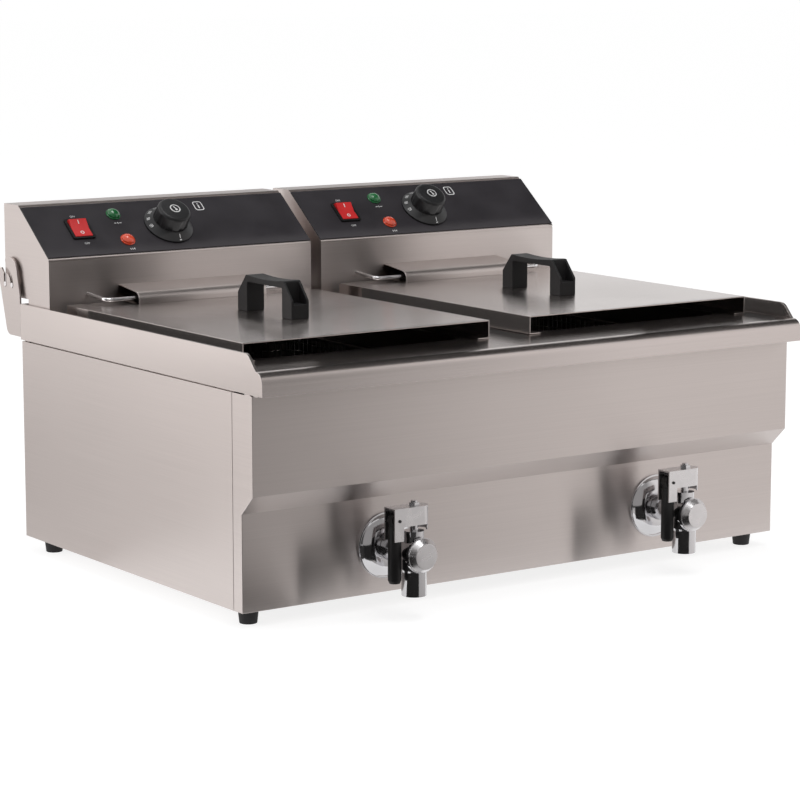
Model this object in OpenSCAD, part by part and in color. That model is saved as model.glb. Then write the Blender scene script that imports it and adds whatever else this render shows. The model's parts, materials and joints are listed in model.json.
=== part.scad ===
// Countertop twin deep fryer: two drained oil tanks under one deck, with a
// tilting control head, a lid, a heating element and a basket for each tank.
// Origin: on the floor, in the middle of the overall plan. +X is to the right
// seen from the front, -Y is the front and +Z is up. Millimetres.

/* [Body] */
// Width of the body across its side panels
body_w = 640; // [610:5:720]
// Depth of the body from its upper front panel to its rear panel
body_d = 439; // [430:1:470]
// Height of the side, front and rear panels
panel_h = 201; // [185:1:230]
// How far the lower front panel stands behind the upper one
front_recess = 19; // [10:1:26]
// Height above the panels' bottom edge where the front starts to slant out
step_low = 91.5; // [80:0.5:98]
// Height above the panels' bottom edge where the slant ends
step_high = 110; // [104:0.5:125]
// Width of the side strip that the front panel turns round each corner
front_return = 34; // [28:1:45]
// Thickness of the steel sheet
sheet = 1.5; // [1:0.1:2]
// Gap between a side panel and the front panel's side strip
seam_gap = 0.4; // [0.2:0.1:1]
// Width of the panels' top flanges
top_flange = 13; // [8:1:15]
// Width of the panels' bottom flanges, which carry the feet
bottom_flange = 42; // [40:1:50]

/* [Deck] */
// Height of the deck's skirt below its top surface
skirt_h = 22; // [18:0.5:28]
// Shadow gap between the skirt and the panels
skirt_gap = 1.5; // [1:0.1:3]
// How far the deck stands out past the panels at the sides and rear
deck_lip = 1; // [0.5:0.1:2]
// How far the rolled front edge stands out past the upper front panel
nose_out = 19; // [14:0.5:26]
// Outer radius of the rolled front edge
nose_r = 11.5; // [8:0.5:13]
// Height of the side splash rims above the deck
splash_h = 14.5; // [8:0.5:18]
// Thickness of the folded splash rims
splash_t = 3; // [2:0.1:3.5]
// Length of the slope at the front end of each splash rim
splash_slope = 13; // [8:1:18]
// Radius at the top of that slope
splash_r = 12; // [6:1:14]
// Width of the joggle that leaves the shadow gap open
joggle = 3; // [2:0.5:5]

/* [Feet] */
// Height of the feet
foot_h = 15; // [10:1:30]
// Diameter of a foot at its top
foot_top_d = 20; // [16:0.5:24]
// Diameter of a foot at the floor
foot_bottom_d = 16.5; // [12:0.5:20]
// Distance of the feet from the side panels
foot_inset_x = 20; // [16:1:26]
// Distance of the feet from the lower front panel and the rear panel
foot_inset_y = 22.5; // [18:0.5:28]
// Diameter of the screw through each foot
foot_screw_d = 5; // [4:0.5:6]
// Diameter of the foot screw's head
foot_screw_head_d = 9; // [8:0.5:10]
// Height of the foot screw's head
foot_screw_head_h = 3; // [2:0.5:4]

/* [Tanks] */
// Distance of a tank's outer wall from the body's side
tank_side_gap = 32; // [30:0.5:40]
// Half the width of the bridge between the tanks
tank_mid_gap = 38; // [36:0.5:44]
// Distance of a tank's front wall behind the upper front panel
tank_setback = 58.5; // [54:0.5:60]
// Distance of a tank's rear wall in front of the heads
tank_rear_gap = 8; // [6:0.5:8.5]
// Inside corner radius of a tank
tank_corner_r = 28; // [15:1:40]
// Width of the flange that hangs a tank under the deck
tank_flange = 9; // [5:1:10]
// Outer diameter of the drain tube
drain_od = 21.3; // [19:0.1:22]
// Bore of the drain tube
drain_bore_d = 16; // [12:0.5:17]

/* [Drain taps] */
// Height of a tap's axis above the panels' bottom edge
tap_height = 45; // [42:0.5:60]
// Distance of the tap's stem in front of the lower front panel
tap_reach = 46; // [44:0.5:60]
// Diameter of the wall rosette
rosette_d = 63; // [56:1:70]
// Depth of the wall rosette
rosette_depth = 9.5; // [6:0.5:14]
// Diameter of the rosette's hub
rosette_hub_d = 31; // [29:0.5:36]
// Diameter of the tap's inlet pipe
tap_pipe_d = 25.4; // [24:0.1:27]
// Diameter of the tap's body round its ball
tap_body_d = 28; // [27:0.5:30]
// Diameter of the body's front collar
tap_collar_d = 33; // [30:0.5:34]
// Diameter of the end cap's front face
tap_cap_d = 24; // [22:0.5:26]
// Distance from the stem to the end cap's front face
tap_front = 20.2; // [19:0.1:24]
// Outer diameter of the spout
spout_od = 23.6; // [20:0.1:25]
// Bore of the spout
spout_bore_d = 17.5; // [15:0.5:18]
// Height of the spout's mouth above the panels' bottom edge
spout_height = 5.7; // [2:0.1:12]
// Height of the cone between the spout and the tap's body
spout_cone_h = 4; // [2:0.5:6]
// Diameter of the neck below the lever
tap_neck_d = 19; // [17:0.5:21]
// Diameter of the tap's stem
stem_d = 8; // [6:0.5:9]
// Diameter of the ball inside the tap
tap_ball_d = 20; // [18:0.5:21]

/* [Tap levers] */
// Height of the lever's top above the tap's axis
lever_top = 45; // [42:0.1:47]
// Width of the lever channel across its flanges
lever_w = 17; // [16:0.1:20]
// Thickness of the lever's sheet
lever_t = 1.4; // [1:0.1:1.8]
// Distance from the stem to the lever's open end
lever_arm = 27.3; // [26:0.1:30]
// Height of the lever's flanges
lever_flange_h = 17.4; // [14:0.1:20]
// Width of the legs that reach down beside the grip
lever_leg_w = 10.2; // [8:0.1:12]
// Height of the legs, from the lever's top
lever_leg_h = 30.6; // [26:0.1:30.7]
// Distance of the lever's rounded nose beyond the stem
lever_nose = 5.5; // [3:0.1:6]
// Height of the rounded nose
lever_nose_h = 22.5; // [18:0.1:22.6]
// Diameter of the black grip
grip_d = 12.5; // [10:0.1:13]
// Distance from the grip's pivot to its lower end
grip_l = 59; // [50:0.5:70]
// Distance of the grip's pivot from the stem
grip_pivot_x = 21.8; // [21:0.1:23]
// Depth of the grip's pivot below the lever's top
grip_pivot_drop = 11.5; // [9:0.1:12]
// Diameter of the grip's pivot rivet
rivet_d = 3; // [2.5:0.1:4]

/* [Heads] */
// Gap between the two control heads
head_gap = 13; // [12:0.5:20]
// Distance of a head's side from the body's side
head_inset = 2.8; // [2.7:0.1:6]
// Depth of the part of a head that stands on the deck
head_seat_d = 55.5; // [54:0.5:56.5]
// How far a head reaches out behind the body
head_overhang = 39.2; // [38:0.1:44]
// Height of a head above the deck
head_h = 113.3; // [105:0.5:130]
// Height of a head's upright front above the deck
head_front_h = 63.3; // [56:0.1:72]
// Depth of a head's flat top
head_top_d = 31; // [24:0.5:40]
// Distance of the relief under a head's rear from the body's rear
relief_d = 10.5; // [9:0.5:14]
// Height of the relief under a head's rear above the deck
relief_h = 19.8; // [18.5:0.1:21]
// Running gap between pieces that rest on each other
seat_gap = 0.3; // [0.2:0.05:0.5]

/* [Head pivots] */
// Distance of the pivot pin behind the body's rear
pivot_out = 32.8; // [31:0.1:34]
// Height of the pivot pin above the deck
pivot_h = 31.7; // [31:0.1:33]
// Distance between the pivot pin and the guide pin
pin_pitch = 14.6; // [13:0.1:15.2]
// Diameter of the pins
pin_d = 5; // [4:0.1:5.6]
// How far the pins stand out of their brackets
pin_proud = 0.4; // [0.2:0.1:0.8]
// Clearance between a head's side and its bracket
bracket_gap = 1.8; // [1:0.1:2]
// Thickness of the brackets
bracket_t = 2; // [1.5:0.1:2]
// Width of a bracket's flange on the deck's rear skirt
bracket_flange = 22; // [16:1:30]

/* [Controls] */
// Lower margin of bare steel below the black control plate
plate_margin = 2.2; // [1.5:0.1:4]
// Length of the control plate up the slope
plate_l = 74; // [70:0.1:75]
// Thickness of the control plate
plate_t = 1.2; // [0.8:0.1:1.5]
// Width of the dark seam lines above and below the control panel
seam_w = 1.2; // [0.8:0.1:1.6]
// Depth of those seam lines
seam_depth = 0.7; // [0.4:0.1:1]
// Distance of the switch from the head's left side
switch_x = 51.6; // [48:0.1:60]
// Height of the switch, the knob and the middle row up the slope
switch_s = 39.7; // [36:0.1:44]
// Width of the switch frame
frame_w = 25.4; // [25:0.1:28]
// Length of the switch frame
frame_l = 28.6; // [28.4:0.1:32]
// Width of the rocker
rocker_w = 19.6; // [18:0.1:20]
// Length of the rocker
rocker_l = 24; // [22:0.1:24.4]
// Angle of the rocker's two positions from level
rocker_tilt = 9; // [6:0.5:11]
// Distance of the lamps from the head's left side
lamp_x = 98.3; // [94:0.1:104]
// Height of the power lamp up the slope
power_lamp_s = 58.1; // [55:0.1:62]
// Height of the heating lamp up the slope
heat_lamp_s = 19.9; // [17:0.1:25]
// Diameter of the lamps' rims
lamp_d = 15.5; // [13:0.1:17]
// Distance of the knob from the head's left side
knob_x = 153.9; // [148:0.1:160]
// Height of the knob up the slope
knob_s = 37.3; // [35:0.1:41]
// Diameter of the knob's skirt
knob_d = 52.5; // [48:0.5:58]
// Diameter of the knob's grip
knob_grip_d = 37; // [32:0.5:40]
// Height of the knob
knob_h = 24; // [20:0.5:30]
// Height of the knob's conical skirt
knob_skirt_h = 7; // [5:0.5:9]
// Radius round the top of the knob's grip
knob_round_r = 4; // [2:0.5:5]
// Depth of the shallow flutes round the knob's grip
flute_depth = 1.1; // [0.6:0.1:1.6]
// Diameter of the thermostat's shaft
shaft_d = 6; // [5:0.1:7]

/* [Element and covers] */
// Diameter of the heating tube
element_d = 8; // [6.5:0.1:8.5]
// Height of the heating tube's axis above the tank's floor
element_lift = 43; // [38:0.5:50]
// Half the width of the heating tube's loops
element_half_w = 66; // [57:3:69]
// Distance of the upright tubes in front of the head
element_out = 22; // [20:0.5:24]
// Gap between the tank's front wall and the loops' front end
element_front_gap = 43; // [38:0.5:60]
// How much shorter the two inner runs are than the outer ones
element_inner_drop = 32; // [20:1:50]
// Radius of the bends at the ends of the upright tubes
element_bend_r = 12; // [10:0.5:16]
// Height of the tube's ends above the deck
element_top_h = 15.5; // [14:0.5:18]
// Length of the tube's ends inside the head
element_in = 12; // [8:0.5:20]
// Half the width of the element's cover
cover_half_w = 75; // [73:0.5:80]
// Distance of the cover's front from the head
cover_out = 41; // [39:0.5:43]
// Height of the cover's rear edge above the deck
cover_h = 34.3; // [33:0.1:38]
// Drop of the cover's top from its rear edge to its nose
cover_drop = 4.3; // [2:0.1:5]
// Radius of the cover's nose
cover_nose_r = 8; // [5:0.5:9]
// Thickness of the cover's sheet
cover_t = 1.2; // [0.8:0.1:1.5]
// How far the cover's front reaches down below the lid's top
cover_skirt = 6; // [4:0.5:10]
// Diameter of the basket rest's wire
rest_d = 4; // [3:0.1:4.5]
// Half the width of the basket rest at the head
rest_half_w = 111; // [108:0.5:116]
// Distance of the rest's bar in front of the head
rest_out = 33; // [28:0.5:34]
// Height of the rest's bar above the deck
rest_h = 23.5; // [22.5:0.1:25]
// Height of the rest's legs at the head above its bar
rest_rise = 3.8; // [2:0.1:5]
// Angle by which the rest's legs lean towards each other
rest_splay = 5; // [0:1:12]
// Radius of the rest's two bends
rest_bend_r = 7; // [5:0.5:9]
// Length of the rest's legs inside the head
rest_in = 5; // [3:0.5:8]

/* [Lids] */
// How far a lid reaches past the tank's side walls
lid_side_lap = 13.75; // [11:0.25:17]
// Height of a lid
lid_h = 17.8; // [14:0.1:18.5]
// Length that a lid reaches past the tank's front wall
lid_front = 14; // [8:0.5:18]
// Gap between a lid's rear edge and the head
lid_rear_gap = 7.3; // [6:0.1:12]
// Thickness of a lid's sheet
lid_t = 1.2; // [0.8:0.1:1.5]
// Width of the lips under a lid's sides
lid_lip = 13.5; // [8:0.5:14]
// Clearance round the cover in a lid's rear notch
notch_gap = 1; // [0.6:0.1:2]
// Distance of the handle to the left of the lid's middle
handle_off = 7; // [0:1:20]
// Distance of the handle in front of the lid's middle
handle_ahead = 9.5; // [0:0.5:30]
// Length of the lid's handle
handle_l = 98; // [90:1:120]
// Width of the lid's handle
handle_w = 20; // [16:0.5:24]
// Height of the lid's handle
handle_h = 36; // [32:0.5:44]
// Length of each leg of the handle
handle_leg = 17.5; // [14:0.5:22]
// Length of the slope at each end of the handle
handle_slope_l = 15; // [8:0.5:16]
// Height of the slope at each end of the handle
handle_slope_h = 18; // [10:0.5:20]
// Thickness of the handle's grip
handle_grip_t = 6.8; // [6:0.1:10]

/* [Baskets] */
// Gap between a basket's side and the tank's side wall
basket_side_gap = 20; // [12:0.5:30]
// Height of a basket
basket_h = 118; // [90:1:126]
// Gap between a basket's front and the tank's front wall
basket_front_gap = 41; // [40:0.5:50]
// Gap between a basket's rear and the tank's rear wall
basket_rear_gap = 36; // [33:0.5:45]
// Diameter of the basket's rim wire
basket_rim_d = 5; // [4:0.5:6]
// Thickness of the basket's mesh
basket_mesh_t = 1.6; // [1.2:0.1:2.5]
// Radius of the basket's upright corners
basket_corner_r = 15; // [10:1:25]
// Number of openings along each side of the basket
basket_slots = 9; // [5:1:12]
// Width of the openings
basket_slot_w = 14; // [8:0.5:16]
// Solid border round the openings
basket_border = 12; // [8:0.5:20]

/* [Cable inlets] */
// Distance of a cable inlet from the head's left side
inlet_x = 60; // [40:1:120]
// Height of a cable inlet above the deck
inlet_h = 46; // [40:1:60]
// Bore of the cable inlet bush
inlet_bore_d = 9; // [7:0.5:10]
// Diameter of the inlet bush's nose
inlet_nose_d = 17; // [14:0.5:20]
// Diameter of the inlet bush's flange
inlet_flange_d = 24; // [22:0.5:30]
// How far the inlet bush stands out behind the head
inlet_out = 8; // [5:0.5:8]

/* [Hidden] */
$fn = 64;

left = -1;
right = 1;
cut = 1; // how far a cutting shape runs past the face that it cuts
cover_bend_steps = 10;
touch_gap = 0.02; // gap between two faces that lie on each other on a head's slope
rest_weld = 0.1; // how much thicker than the straight runs the basket rest's bends are
rocker_axis = 0.2; // height of the rocker's axis above the slope
rocker_pin_d = 2;

steel = "#b9b4b0";
steel_dark = "#8f8b88";
chrome = "#d8dadd";
black = "#1d1d1f";

// planes of the body
front_y = -body_d / 2;
low_front_y = front_y + front_recess;
rear_y = body_d / 2;
side_x = body_w / 2;
seam_y = front_y + front_return;
front_foot_y = low_front_y + foot_inset_y;
rear_foot_y = rear_y - foot_inset_y;
base_z = foot_h;
panel_top = base_z + panel_h;
skirt_z = panel_top + skirt_gap;
deck_z = skirt_z + skirt_h;
deck_side = side_x + deck_lip;
deck_rear = rear_y + deck_lip;
deck_front = front_y - nose_out;

// tanks
tank_w = side_x - tank_side_gap - tank_mid_gap;
tank_x = tank_mid_gap + tank_w / 2;
tank_front = front_y + tank_setback;
tank_rear = rear_y - head_seat_d - tank_rear_gap;
tank_l = tank_rear - tank_front;
tank_mid_y = tank_front + tank_l / 2;
tap_z = base_z + tap_height;
tank_floor = tap_z - drain_bore_d / 2;

// taps
stem_y = low_front_y - tap_reach;
spout_z = base_z + spout_height;
lever_z = tap_z + lever_top;
tap_fit = 0.05; // radial clearance of a turning stem, pin or shaft
ball_bore = 15; // bore of the ball's front opening
ball_hole = 12; // hole through the ball
collar_back = 10.5;
collar_front = 13.7;
neck_top = lever_z - lever_nose_h - 1;

// heads
head_w = (body_w - 2 * head_inset - head_gap) / 2;
head_front = rear_y - head_seat_d;
head_rear = rear_y + head_overhang;
head_floor = deck_z + seat_gap;
head_top = deck_z + head_h;
head_slope_z = deck_z + head_front_h;
head_slope_rear = head_rear - head_top_d;
relief_y = rear_y - relief_d;
relief_z = deck_z + relief_h;
slope_angle = atan2(head_top - head_slope_z, head_slope_rear - head_front);
slope_l = (head_top - head_slope_z) / sin(slope_angle);
pivot_y = rear_y + pivot_out;
pivot_z = deck_z + pivot_h;
slot_r = pin_d / 2 + seat_gap;

// lids
lid_floor = deck_z + seat_gap;
lid_top = lid_floor + lid_h;
lid_front_y = tank_front - lid_front;
lid_rear_y = head_front - lid_rear_gap;
lid_w = tank_w + 2 * lid_side_lap;
handle_y = (lid_front_y + lid_rear_y) / 2 - handle_ahead;

// element, cover and basket
cover_front = head_front - cover_out;
cover_floor = lid_top - cover_skirt;
element_z = tank_floor + element_lift;
element_pitch = element_half_w * 2 / 3;
element_top_z = deck_z + element_top_h;
rest_tilt = atan2(rest_rise, rest_out);
basket_floor = element_z + element_d / 2 + seat_gap;
basket_w = tank_w - 2 * basket_side_gap;
basket_l = tank_l - basket_front_gap - basket_rear_gap;
basket_mid_y = tank_front + basket_front_gap + basket_l / 2;

function head_left(side) = side < 0 ? -side_x + head_inset : head_gap / 2;
function head_right(side) = head_left(side) + head_w;
function tank_cx(side) = side * tank_x;

// a rectangle with rounded corners, centred on the origin
module rounded_rect(w, l, r) {
    square([w - 2 * r, l], center = true);
    square([w, l - 2 * r], center = true);
    for (x = [-1, 1], y = [-1, 1])
        translate([x * (w / 2 - r), y * (l / 2 - r)]) circle(r);
}

// extrudes a side view, drawn in the Y-Z plane, from x to x + w
module along_x(x, w) {
    translate([x, 0, 0]) rotate([90, 0, 90]) linear_extrude(w) children();
}

// a cylinder along Y from y to y + l
module rod_y(x, y, z, l, d) {
    translate([x, y, z]) rotate([-90, 0, 0]) cylinder(h = l, d = d);
}

// a round rod bent in its own plane: each step is [straight length, bend radius, bend angle],
// it starts at the origin along +Y, and a positive angle turns it to the left. The straight runs
// reach into the bends, which are thicker by the weld.
module bent_rod(steps, d, weld = 0, i = 0) {
    if (i < len(steps)) {
        run = steps[i][0];
        r = steps[i][1];
        turn = steps[i][2];
        hand = turn < 0 ? -1 : 1;
        if (run > 0) rotate([-90, 0, 0]) cylinder(h = run + 4 * weld, d = d);
        translate([-hand * r, run, 0]) {
            if (turn != 0)
                rotate([0, 0, turn < 0 ? 180 + turn : 0])
                    rotate_extrude(angle = abs(turn)) translate([r, 0]) circle(d = d + weld);
            rotate([0, 0, turn]) translate([hand * r, 0, 0]) bent_rod(steps, d, weld, i + 1);
        }
    }
}

// ---------------------------------------------------------------- body

module base_plate() {
    floor_z = base_z + sheet;
    y0 = low_front_y + sheet;
    y1 = rear_y - 2 * sheet;
    w = body_w - 2 * sheet;
    color(steel_dark)
        difference() {
            translate([-w / 2, y0, floor_z]) cube([w, y1 - y0, sheet]);
            for (x = [-1, 1], y = [low_front_y + foot_inset_y, rear_y - foot_inset_y])
                translate([x * (side_x - foot_inset_x), y, floor_z - cut])
                    cylinder(h = sheet + 2 * cut, d = foot_screw_d + 0.4);
        }
}

// top edge of a panel in section, from its outer face at 0 inwards: it steps in by the joggle and up
// by the shadow gap, so that the deck's flange rests on it
module top_edge() {
    translate([0, panel_top - sheet]) square([joggle + sheet, sheet]);
    translate([joggle, panel_top - sheet]) square([sheet, skirt_gap + sheet]);
    translate([joggle, panel_top + skirt_gap - sheet]) square([top_flange - joggle, sheet]);
}

module side_panel(side) {
    y0 = seam_y + seam_gap;
    flange_y = low_front_y + sheet + seam_gap;
    flange_l = rear_y - sheet - flange_y;
    rear_return_y = rear_y - 2 * sheet;
    color(steel)
        scale([side, 1, 1])
            difference() {
                union() {
                    translate([side_x - sheet, y0, base_z]) cube([sheet, rear_y - y0, panel_h]);
                    translate([side_x, y0, 0])
                        rotate([90, 0, 180]) linear_extrude(rear_y - top_flange - seam_gap - y0) top_edge();
                    translate([side_x - bottom_flange, flange_y, base_z])
                        cube([bottom_flange - sheet - seam_gap, flange_l, sheet]);
                    translate([side_x - bottom_flange, y0, base_z])
                        cube([bottom_flange, rear_y - sheet - y0, sheet]);
                    translate([side_x - top_flange, rear_return_y, base_z])
                        cube([top_flange, sheet, panel_h - 2 * sheet]);
                }
                for (y = [low_front_y + foot_inset_y, rear_y - foot_inset_y])
                    translate([side_x - foot_inset_x, y, base_z - cut])
                        cylinder(h = sheet + 2 * cut, d = foot_screw_d + 0.4);
            }
}

// outline of the front seen from the side, from the bottom edge to the top edge
function front_line(shift) = [
    [low_front_y + shift, base_z],
    [low_front_y + shift, base_z + step_low],
    [front_y + shift, base_z + step_high],
    [front_y + shift, panel_top]
];

module front_panel() {
    line = front_line(0);
    back = front_line(sheet);
    color(steel)
        difference() {
            union() {
                along_x(-side_x, body_w)
                    polygon([line[0], line[1], line[2], line[3], back[3], back[2], back[1], back[0]]);
                for (x = [-side_x, side_x - sheet])
                    along_x(x, sheet)
                        polygon([line[0], line[1], line[2], line[3], [seam_y, panel_top], [seam_y, base_z]]);
                translate([-side_x, front_y, 0]) rotate([90, 0, 90]) linear_extrude(body_w) top_edge();
                translate([-side_x + bottom_flange + 1, low_front_y, base_z])
                    cube([body_w - 2 * bottom_flange - 2, top_flange, sheet]);
            }
            for (side = [left, right])
                rod_y(tank_cx(side), low_front_y - cut, tap_z, sheet + 2 * cut, drain_od + 1);
        }
}

module rear_panel() {
    w = body_w - 2 * sheet;
    color(steel)
        union() {
            translate([-w / 2, rear_y - sheet, base_z]) cube([w, sheet, panel_h]);
            translate([w / 2, rear_y, 0]) rotate([90, 0, -90]) linear_extrude(w) top_edge();
            translate([-side_x + bottom_flange + 1, rear_y - top_flange, base_z])
                cube([body_w - 2 * bottom_flange - 2, top_flange, sheet]);
        }
}

// side view of the deck's skin, inset by the given depth
module deck_outline(inset) {
    rear = deck_rear - inset;
    roll_y = deck_front + nose_r;
    roll_z = deck_z - nose_r;
    translate([roll_y, skirt_z - inset]) square([rear - roll_y, deck_z - skirt_z]);
    translate([deck_front + inset, skirt_z - inset]) square([nose_r, roll_z - skirt_z + inset]);
    translate([roll_y, roll_z]) circle(nose_r - inset);
}

// side view of a splash rim
module splash_outline() {
    toe = deck_front + nose_r;
    slope = atan2(splash_h, splash_slope);
    reach = splash_r * tan(slope / 2);
    corner = toe + splash_slope;
    polygon([[toe, deck_z - sheet], [toe, deck_z],
             [corner - reach * cos(slope), deck_z + splash_h - reach * sin(slope)],
             [corner + reach, deck_z + splash_h], [deck_rear, deck_z + splash_h],
             [deck_rear, deck_z - sheet]]);
    intersection() {
        translate([corner + reach, deck_z + splash_h - splash_r]) circle(splash_r);
        translate([toe, deck_z - sheet]) square(splash_h + splash_slope + splash_r);
    }
}

// one-piece deck: rolled front edge, skirt with its inward flange, splash rims and tank openings
module deck() {
    flange_in = deck_lip + top_flange;
    color(steel)
        difference() {
            union() {
                along_x(-deck_side, 2 * deck_side)
                    difference() {
                        deck_outline(0);
                        deck_outline(sheet);
                    }
                for (x = [-deck_side, deck_side - sheet])
                    along_x(x, sheet) deck_outline(0);
                for (x = [-deck_side, deck_side - splash_t])
                    along_x(x, splash_t) splash_outline();
                translate([-deck_side, deck_rear - splash_t, deck_z - sheet])
                    cube([2 * deck_side, splash_t, splash_h + sheet]);
                for (x = [-deck_side, deck_side - flange_in])
                    translate([x, deck_front, skirt_z]) cube([flange_in, deck_rear - deck_front, sheet]);
                translate([-deck_side, deck_front, skirt_z])
                    cube([2 * deck_side, front_y + top_flange - deck_front, sheet]);
                translate([-deck_side, deck_rear - flange_in, skirt_z])
                    cube([2 * deck_side, flange_in, sheet]);
            }
            for (side = [left, right])
                translate([tank_cx(side), tank_mid_y, deck_z - sheet - cut])
                    linear_extrude(sheet + 2 * cut) rounded_rect(tank_w, tank_l, tank_corner_r);
        }
}

module tank(side) {
    rim_z = deck_z - sheet;
    color(steel_dark)
        difference() {
            union() {
                translate([tank_cx(side), tank_mid_y, tank_floor - sheet])
                    linear_extrude(rim_z - tank_floor + sheet)
                        rounded_rect(tank_w + 2 * sheet, tank_l + 2 * sheet, tank_corner_r + sheet);
                translate([tank_cx(side), tank_mid_y, rim_z - sheet])
                    linear_extrude(sheet)
                        rounded_rect(tank_w + 2 * tank_flange, tank_l + 2 * tank_flange, tank_corner_r);
                rod_y(tank_cx(side), low_front_y - rosette_depth, tap_z,
                      tank_front - sheet / 2 - low_front_y + rosette_depth, drain_od);
            }
            translate([tank_cx(side), tank_mid_y, tank_floor])
                linear_extrude(rim_z - tank_floor + cut) rounded_rect(tank_w, tank_l, tank_corner_r);
            rod_y(tank_cx(side), low_front_y - rosette_depth - cut, tap_z,
                  tank_front - low_front_y + rosette_depth + 2 * cut, drain_bore_d);
        }
}

module foot(side, y) {
    screw_seat = foot_screw_head_h + 2;
    color(black)
        translate([side * (side_x - foot_inset_x), y, 0])
            difference() {
                cylinder(h = foot_h, d1 = foot_bottom_d, d2 = foot_top_d);
                translate([0, 0, -cut]) cylinder(h = screw_seat + cut, d = foot_screw_head_d + 0.6);
                translate([0, 0, -cut]) cylinder(h = foot_h + 2 * cut, d = foot_screw_d + 0.4);
            }
}

// screws of the feet and of the head brackets
module body_screws() {
    screw_seat = foot_screw_head_h + 2;
    color(chrome) {
        for (x = [-1, 1], y = [low_front_y + foot_inset_y, rear_y - foot_inset_y])
            translate([x * (side_x - foot_inset_x), y, 0]) {
                translate([0, 0, 2]) cylinder(h = foot_screw_head_h, d = foot_screw_head_d);
                translate([0, 0, screw_seat])
                    cylinder(h = foot_h + 2 * sheet + 4 - screw_seat, d = foot_screw_d);
                translate([0, 0, foot_h + 2 * sheet])
                    cylinder(h = 4, d = foot_screw_head_d, $fn = 6);
            }
        for (side = [left, right], end = [-1, 1])
            for (z = [skirt_z + 5, deck_z - 4])
                rod_y(bracket_x(side, end) - end * bracket_flange * 0.6, deck_rear + bracket_t, z, 2, 8);
    }
}

// outer face of the bracket at one end of a head, in x
function bracket_x(side, end) =
    end < 0 ? head_left(side) - bracket_gap - bracket_t : head_right(side) + bracket_gap + bracket_t;

// side view of a head bracket: a slot for the pivot pin, open at the top, and an arc for the guide pin
module bracket_outline() {
    front = deck_rear + 0.5;
    tall_r = 16;
    tall_y = pivot_y - 10;
    tall_z = pivot_z + 12.5;
    lobe_r = 6;
    lobe_y = pivot_y + 8.4;
    lobe_z = pivot_z + 10.1;
    toe_r = 9;
    toe_y = pivot_y - 9.7;
    toe_z = skirt_z + 2.5 + toe_r;
    lean = 13;
    difference() {
        union() {
            polygon([[front, toe_z - toe_r], [toe_y, toe_z - toe_r],
                     [toe_y + toe_r * cos(lean), toe_z - toe_r * sin(lean)],
                     [lobe_y + lobe_r * cos(lean), lobe_z - lobe_r * sin(lean)],
                     [lobe_y, lobe_z], [tall_y, tall_z], [tall_y - tall_r, tall_z], [front, pivot_z - 9]]);
            translate([toe_y, toe_z]) circle(toe_r);
            translate([lobe_y, lobe_z]) circle(lobe_r);
            translate([tall_y, tall_z]) circle(tall_r);
        }
        translate([pivot_y, pivot_z]) {
            circle(slot_r);
            translate([-slot_r, 0]) square([2 * slot_r, pin_pitch]);
            polygon([[-slot_r, pin_pitch - 1], [slot_r, pin_pitch - 4], [30, 40], [slot_r, 40]]);
            translate([-pin_pitch, 0]) circle(slot_r);
            intersection() {
                difference() {
                    circle(pin_pitch + slot_r);
                    circle(pin_pitch - slot_r);
                }
                translate([-40, 0]) square(40);
            }
        }
    }
}

module head_bracket(side, end) {
    x = bracket_x(side, end);
    inner = end < 0 ? x : x - bracket_t;
    along_x(inner, bracket_t) bracket_outline();
    translate([end < 0 ? x : x - bracket_flange, deck_rear, skirt_z + 2.5])
        cube([bracket_flange, bracket_t, deck_z + splash_h - skirt_z - 4]);
}

module head_brackets() {
    color(steel)
        for (side = [left, right], end = [-1, 1])
            head_bracket(side, end);
}

// ---------------------------------------------------------------- drain taps

// turns a profile of [distance from the axis, distance along it] round a tap's axis, towards -Y
module round_tap_axis(side, y) {
    translate([tank_cx(side), y, tap_z]) rotate([90, 0, 0]) rotate_extrude() children();
}

module tap_rosette(side) {
    hub = rosette_hub_d / 2;
    rim = rosette_d / 2;
    flange_t = 2;
    dome_w = rim - 1.5 - hub;
    dome_h = rosette_depth - flange_t;
    dome_r = (dome_w * dome_w + dome_h * dome_h) / (2 * dome_h);
    wall = 1.5;
    color(chrome)
        round_tap_axis(side, low_front_y)
            difference() {
                union() {
                    square([rim, flange_t]);
                    square([hub, rosette_depth]);
                    intersection() {
                        translate([hub, rosette_depth - dome_r]) circle(dome_r);
                        translate([hub - 1, 1]) square([dome_w + 2, rosette_depth]);
                    }
                }
                square([tap_pipe_d + 0.4, 4 * rosette_depth], center = true);
                translate([0, -cut]) square([hub - wall, rosette_depth - wall + cut]);
            }
}

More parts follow.
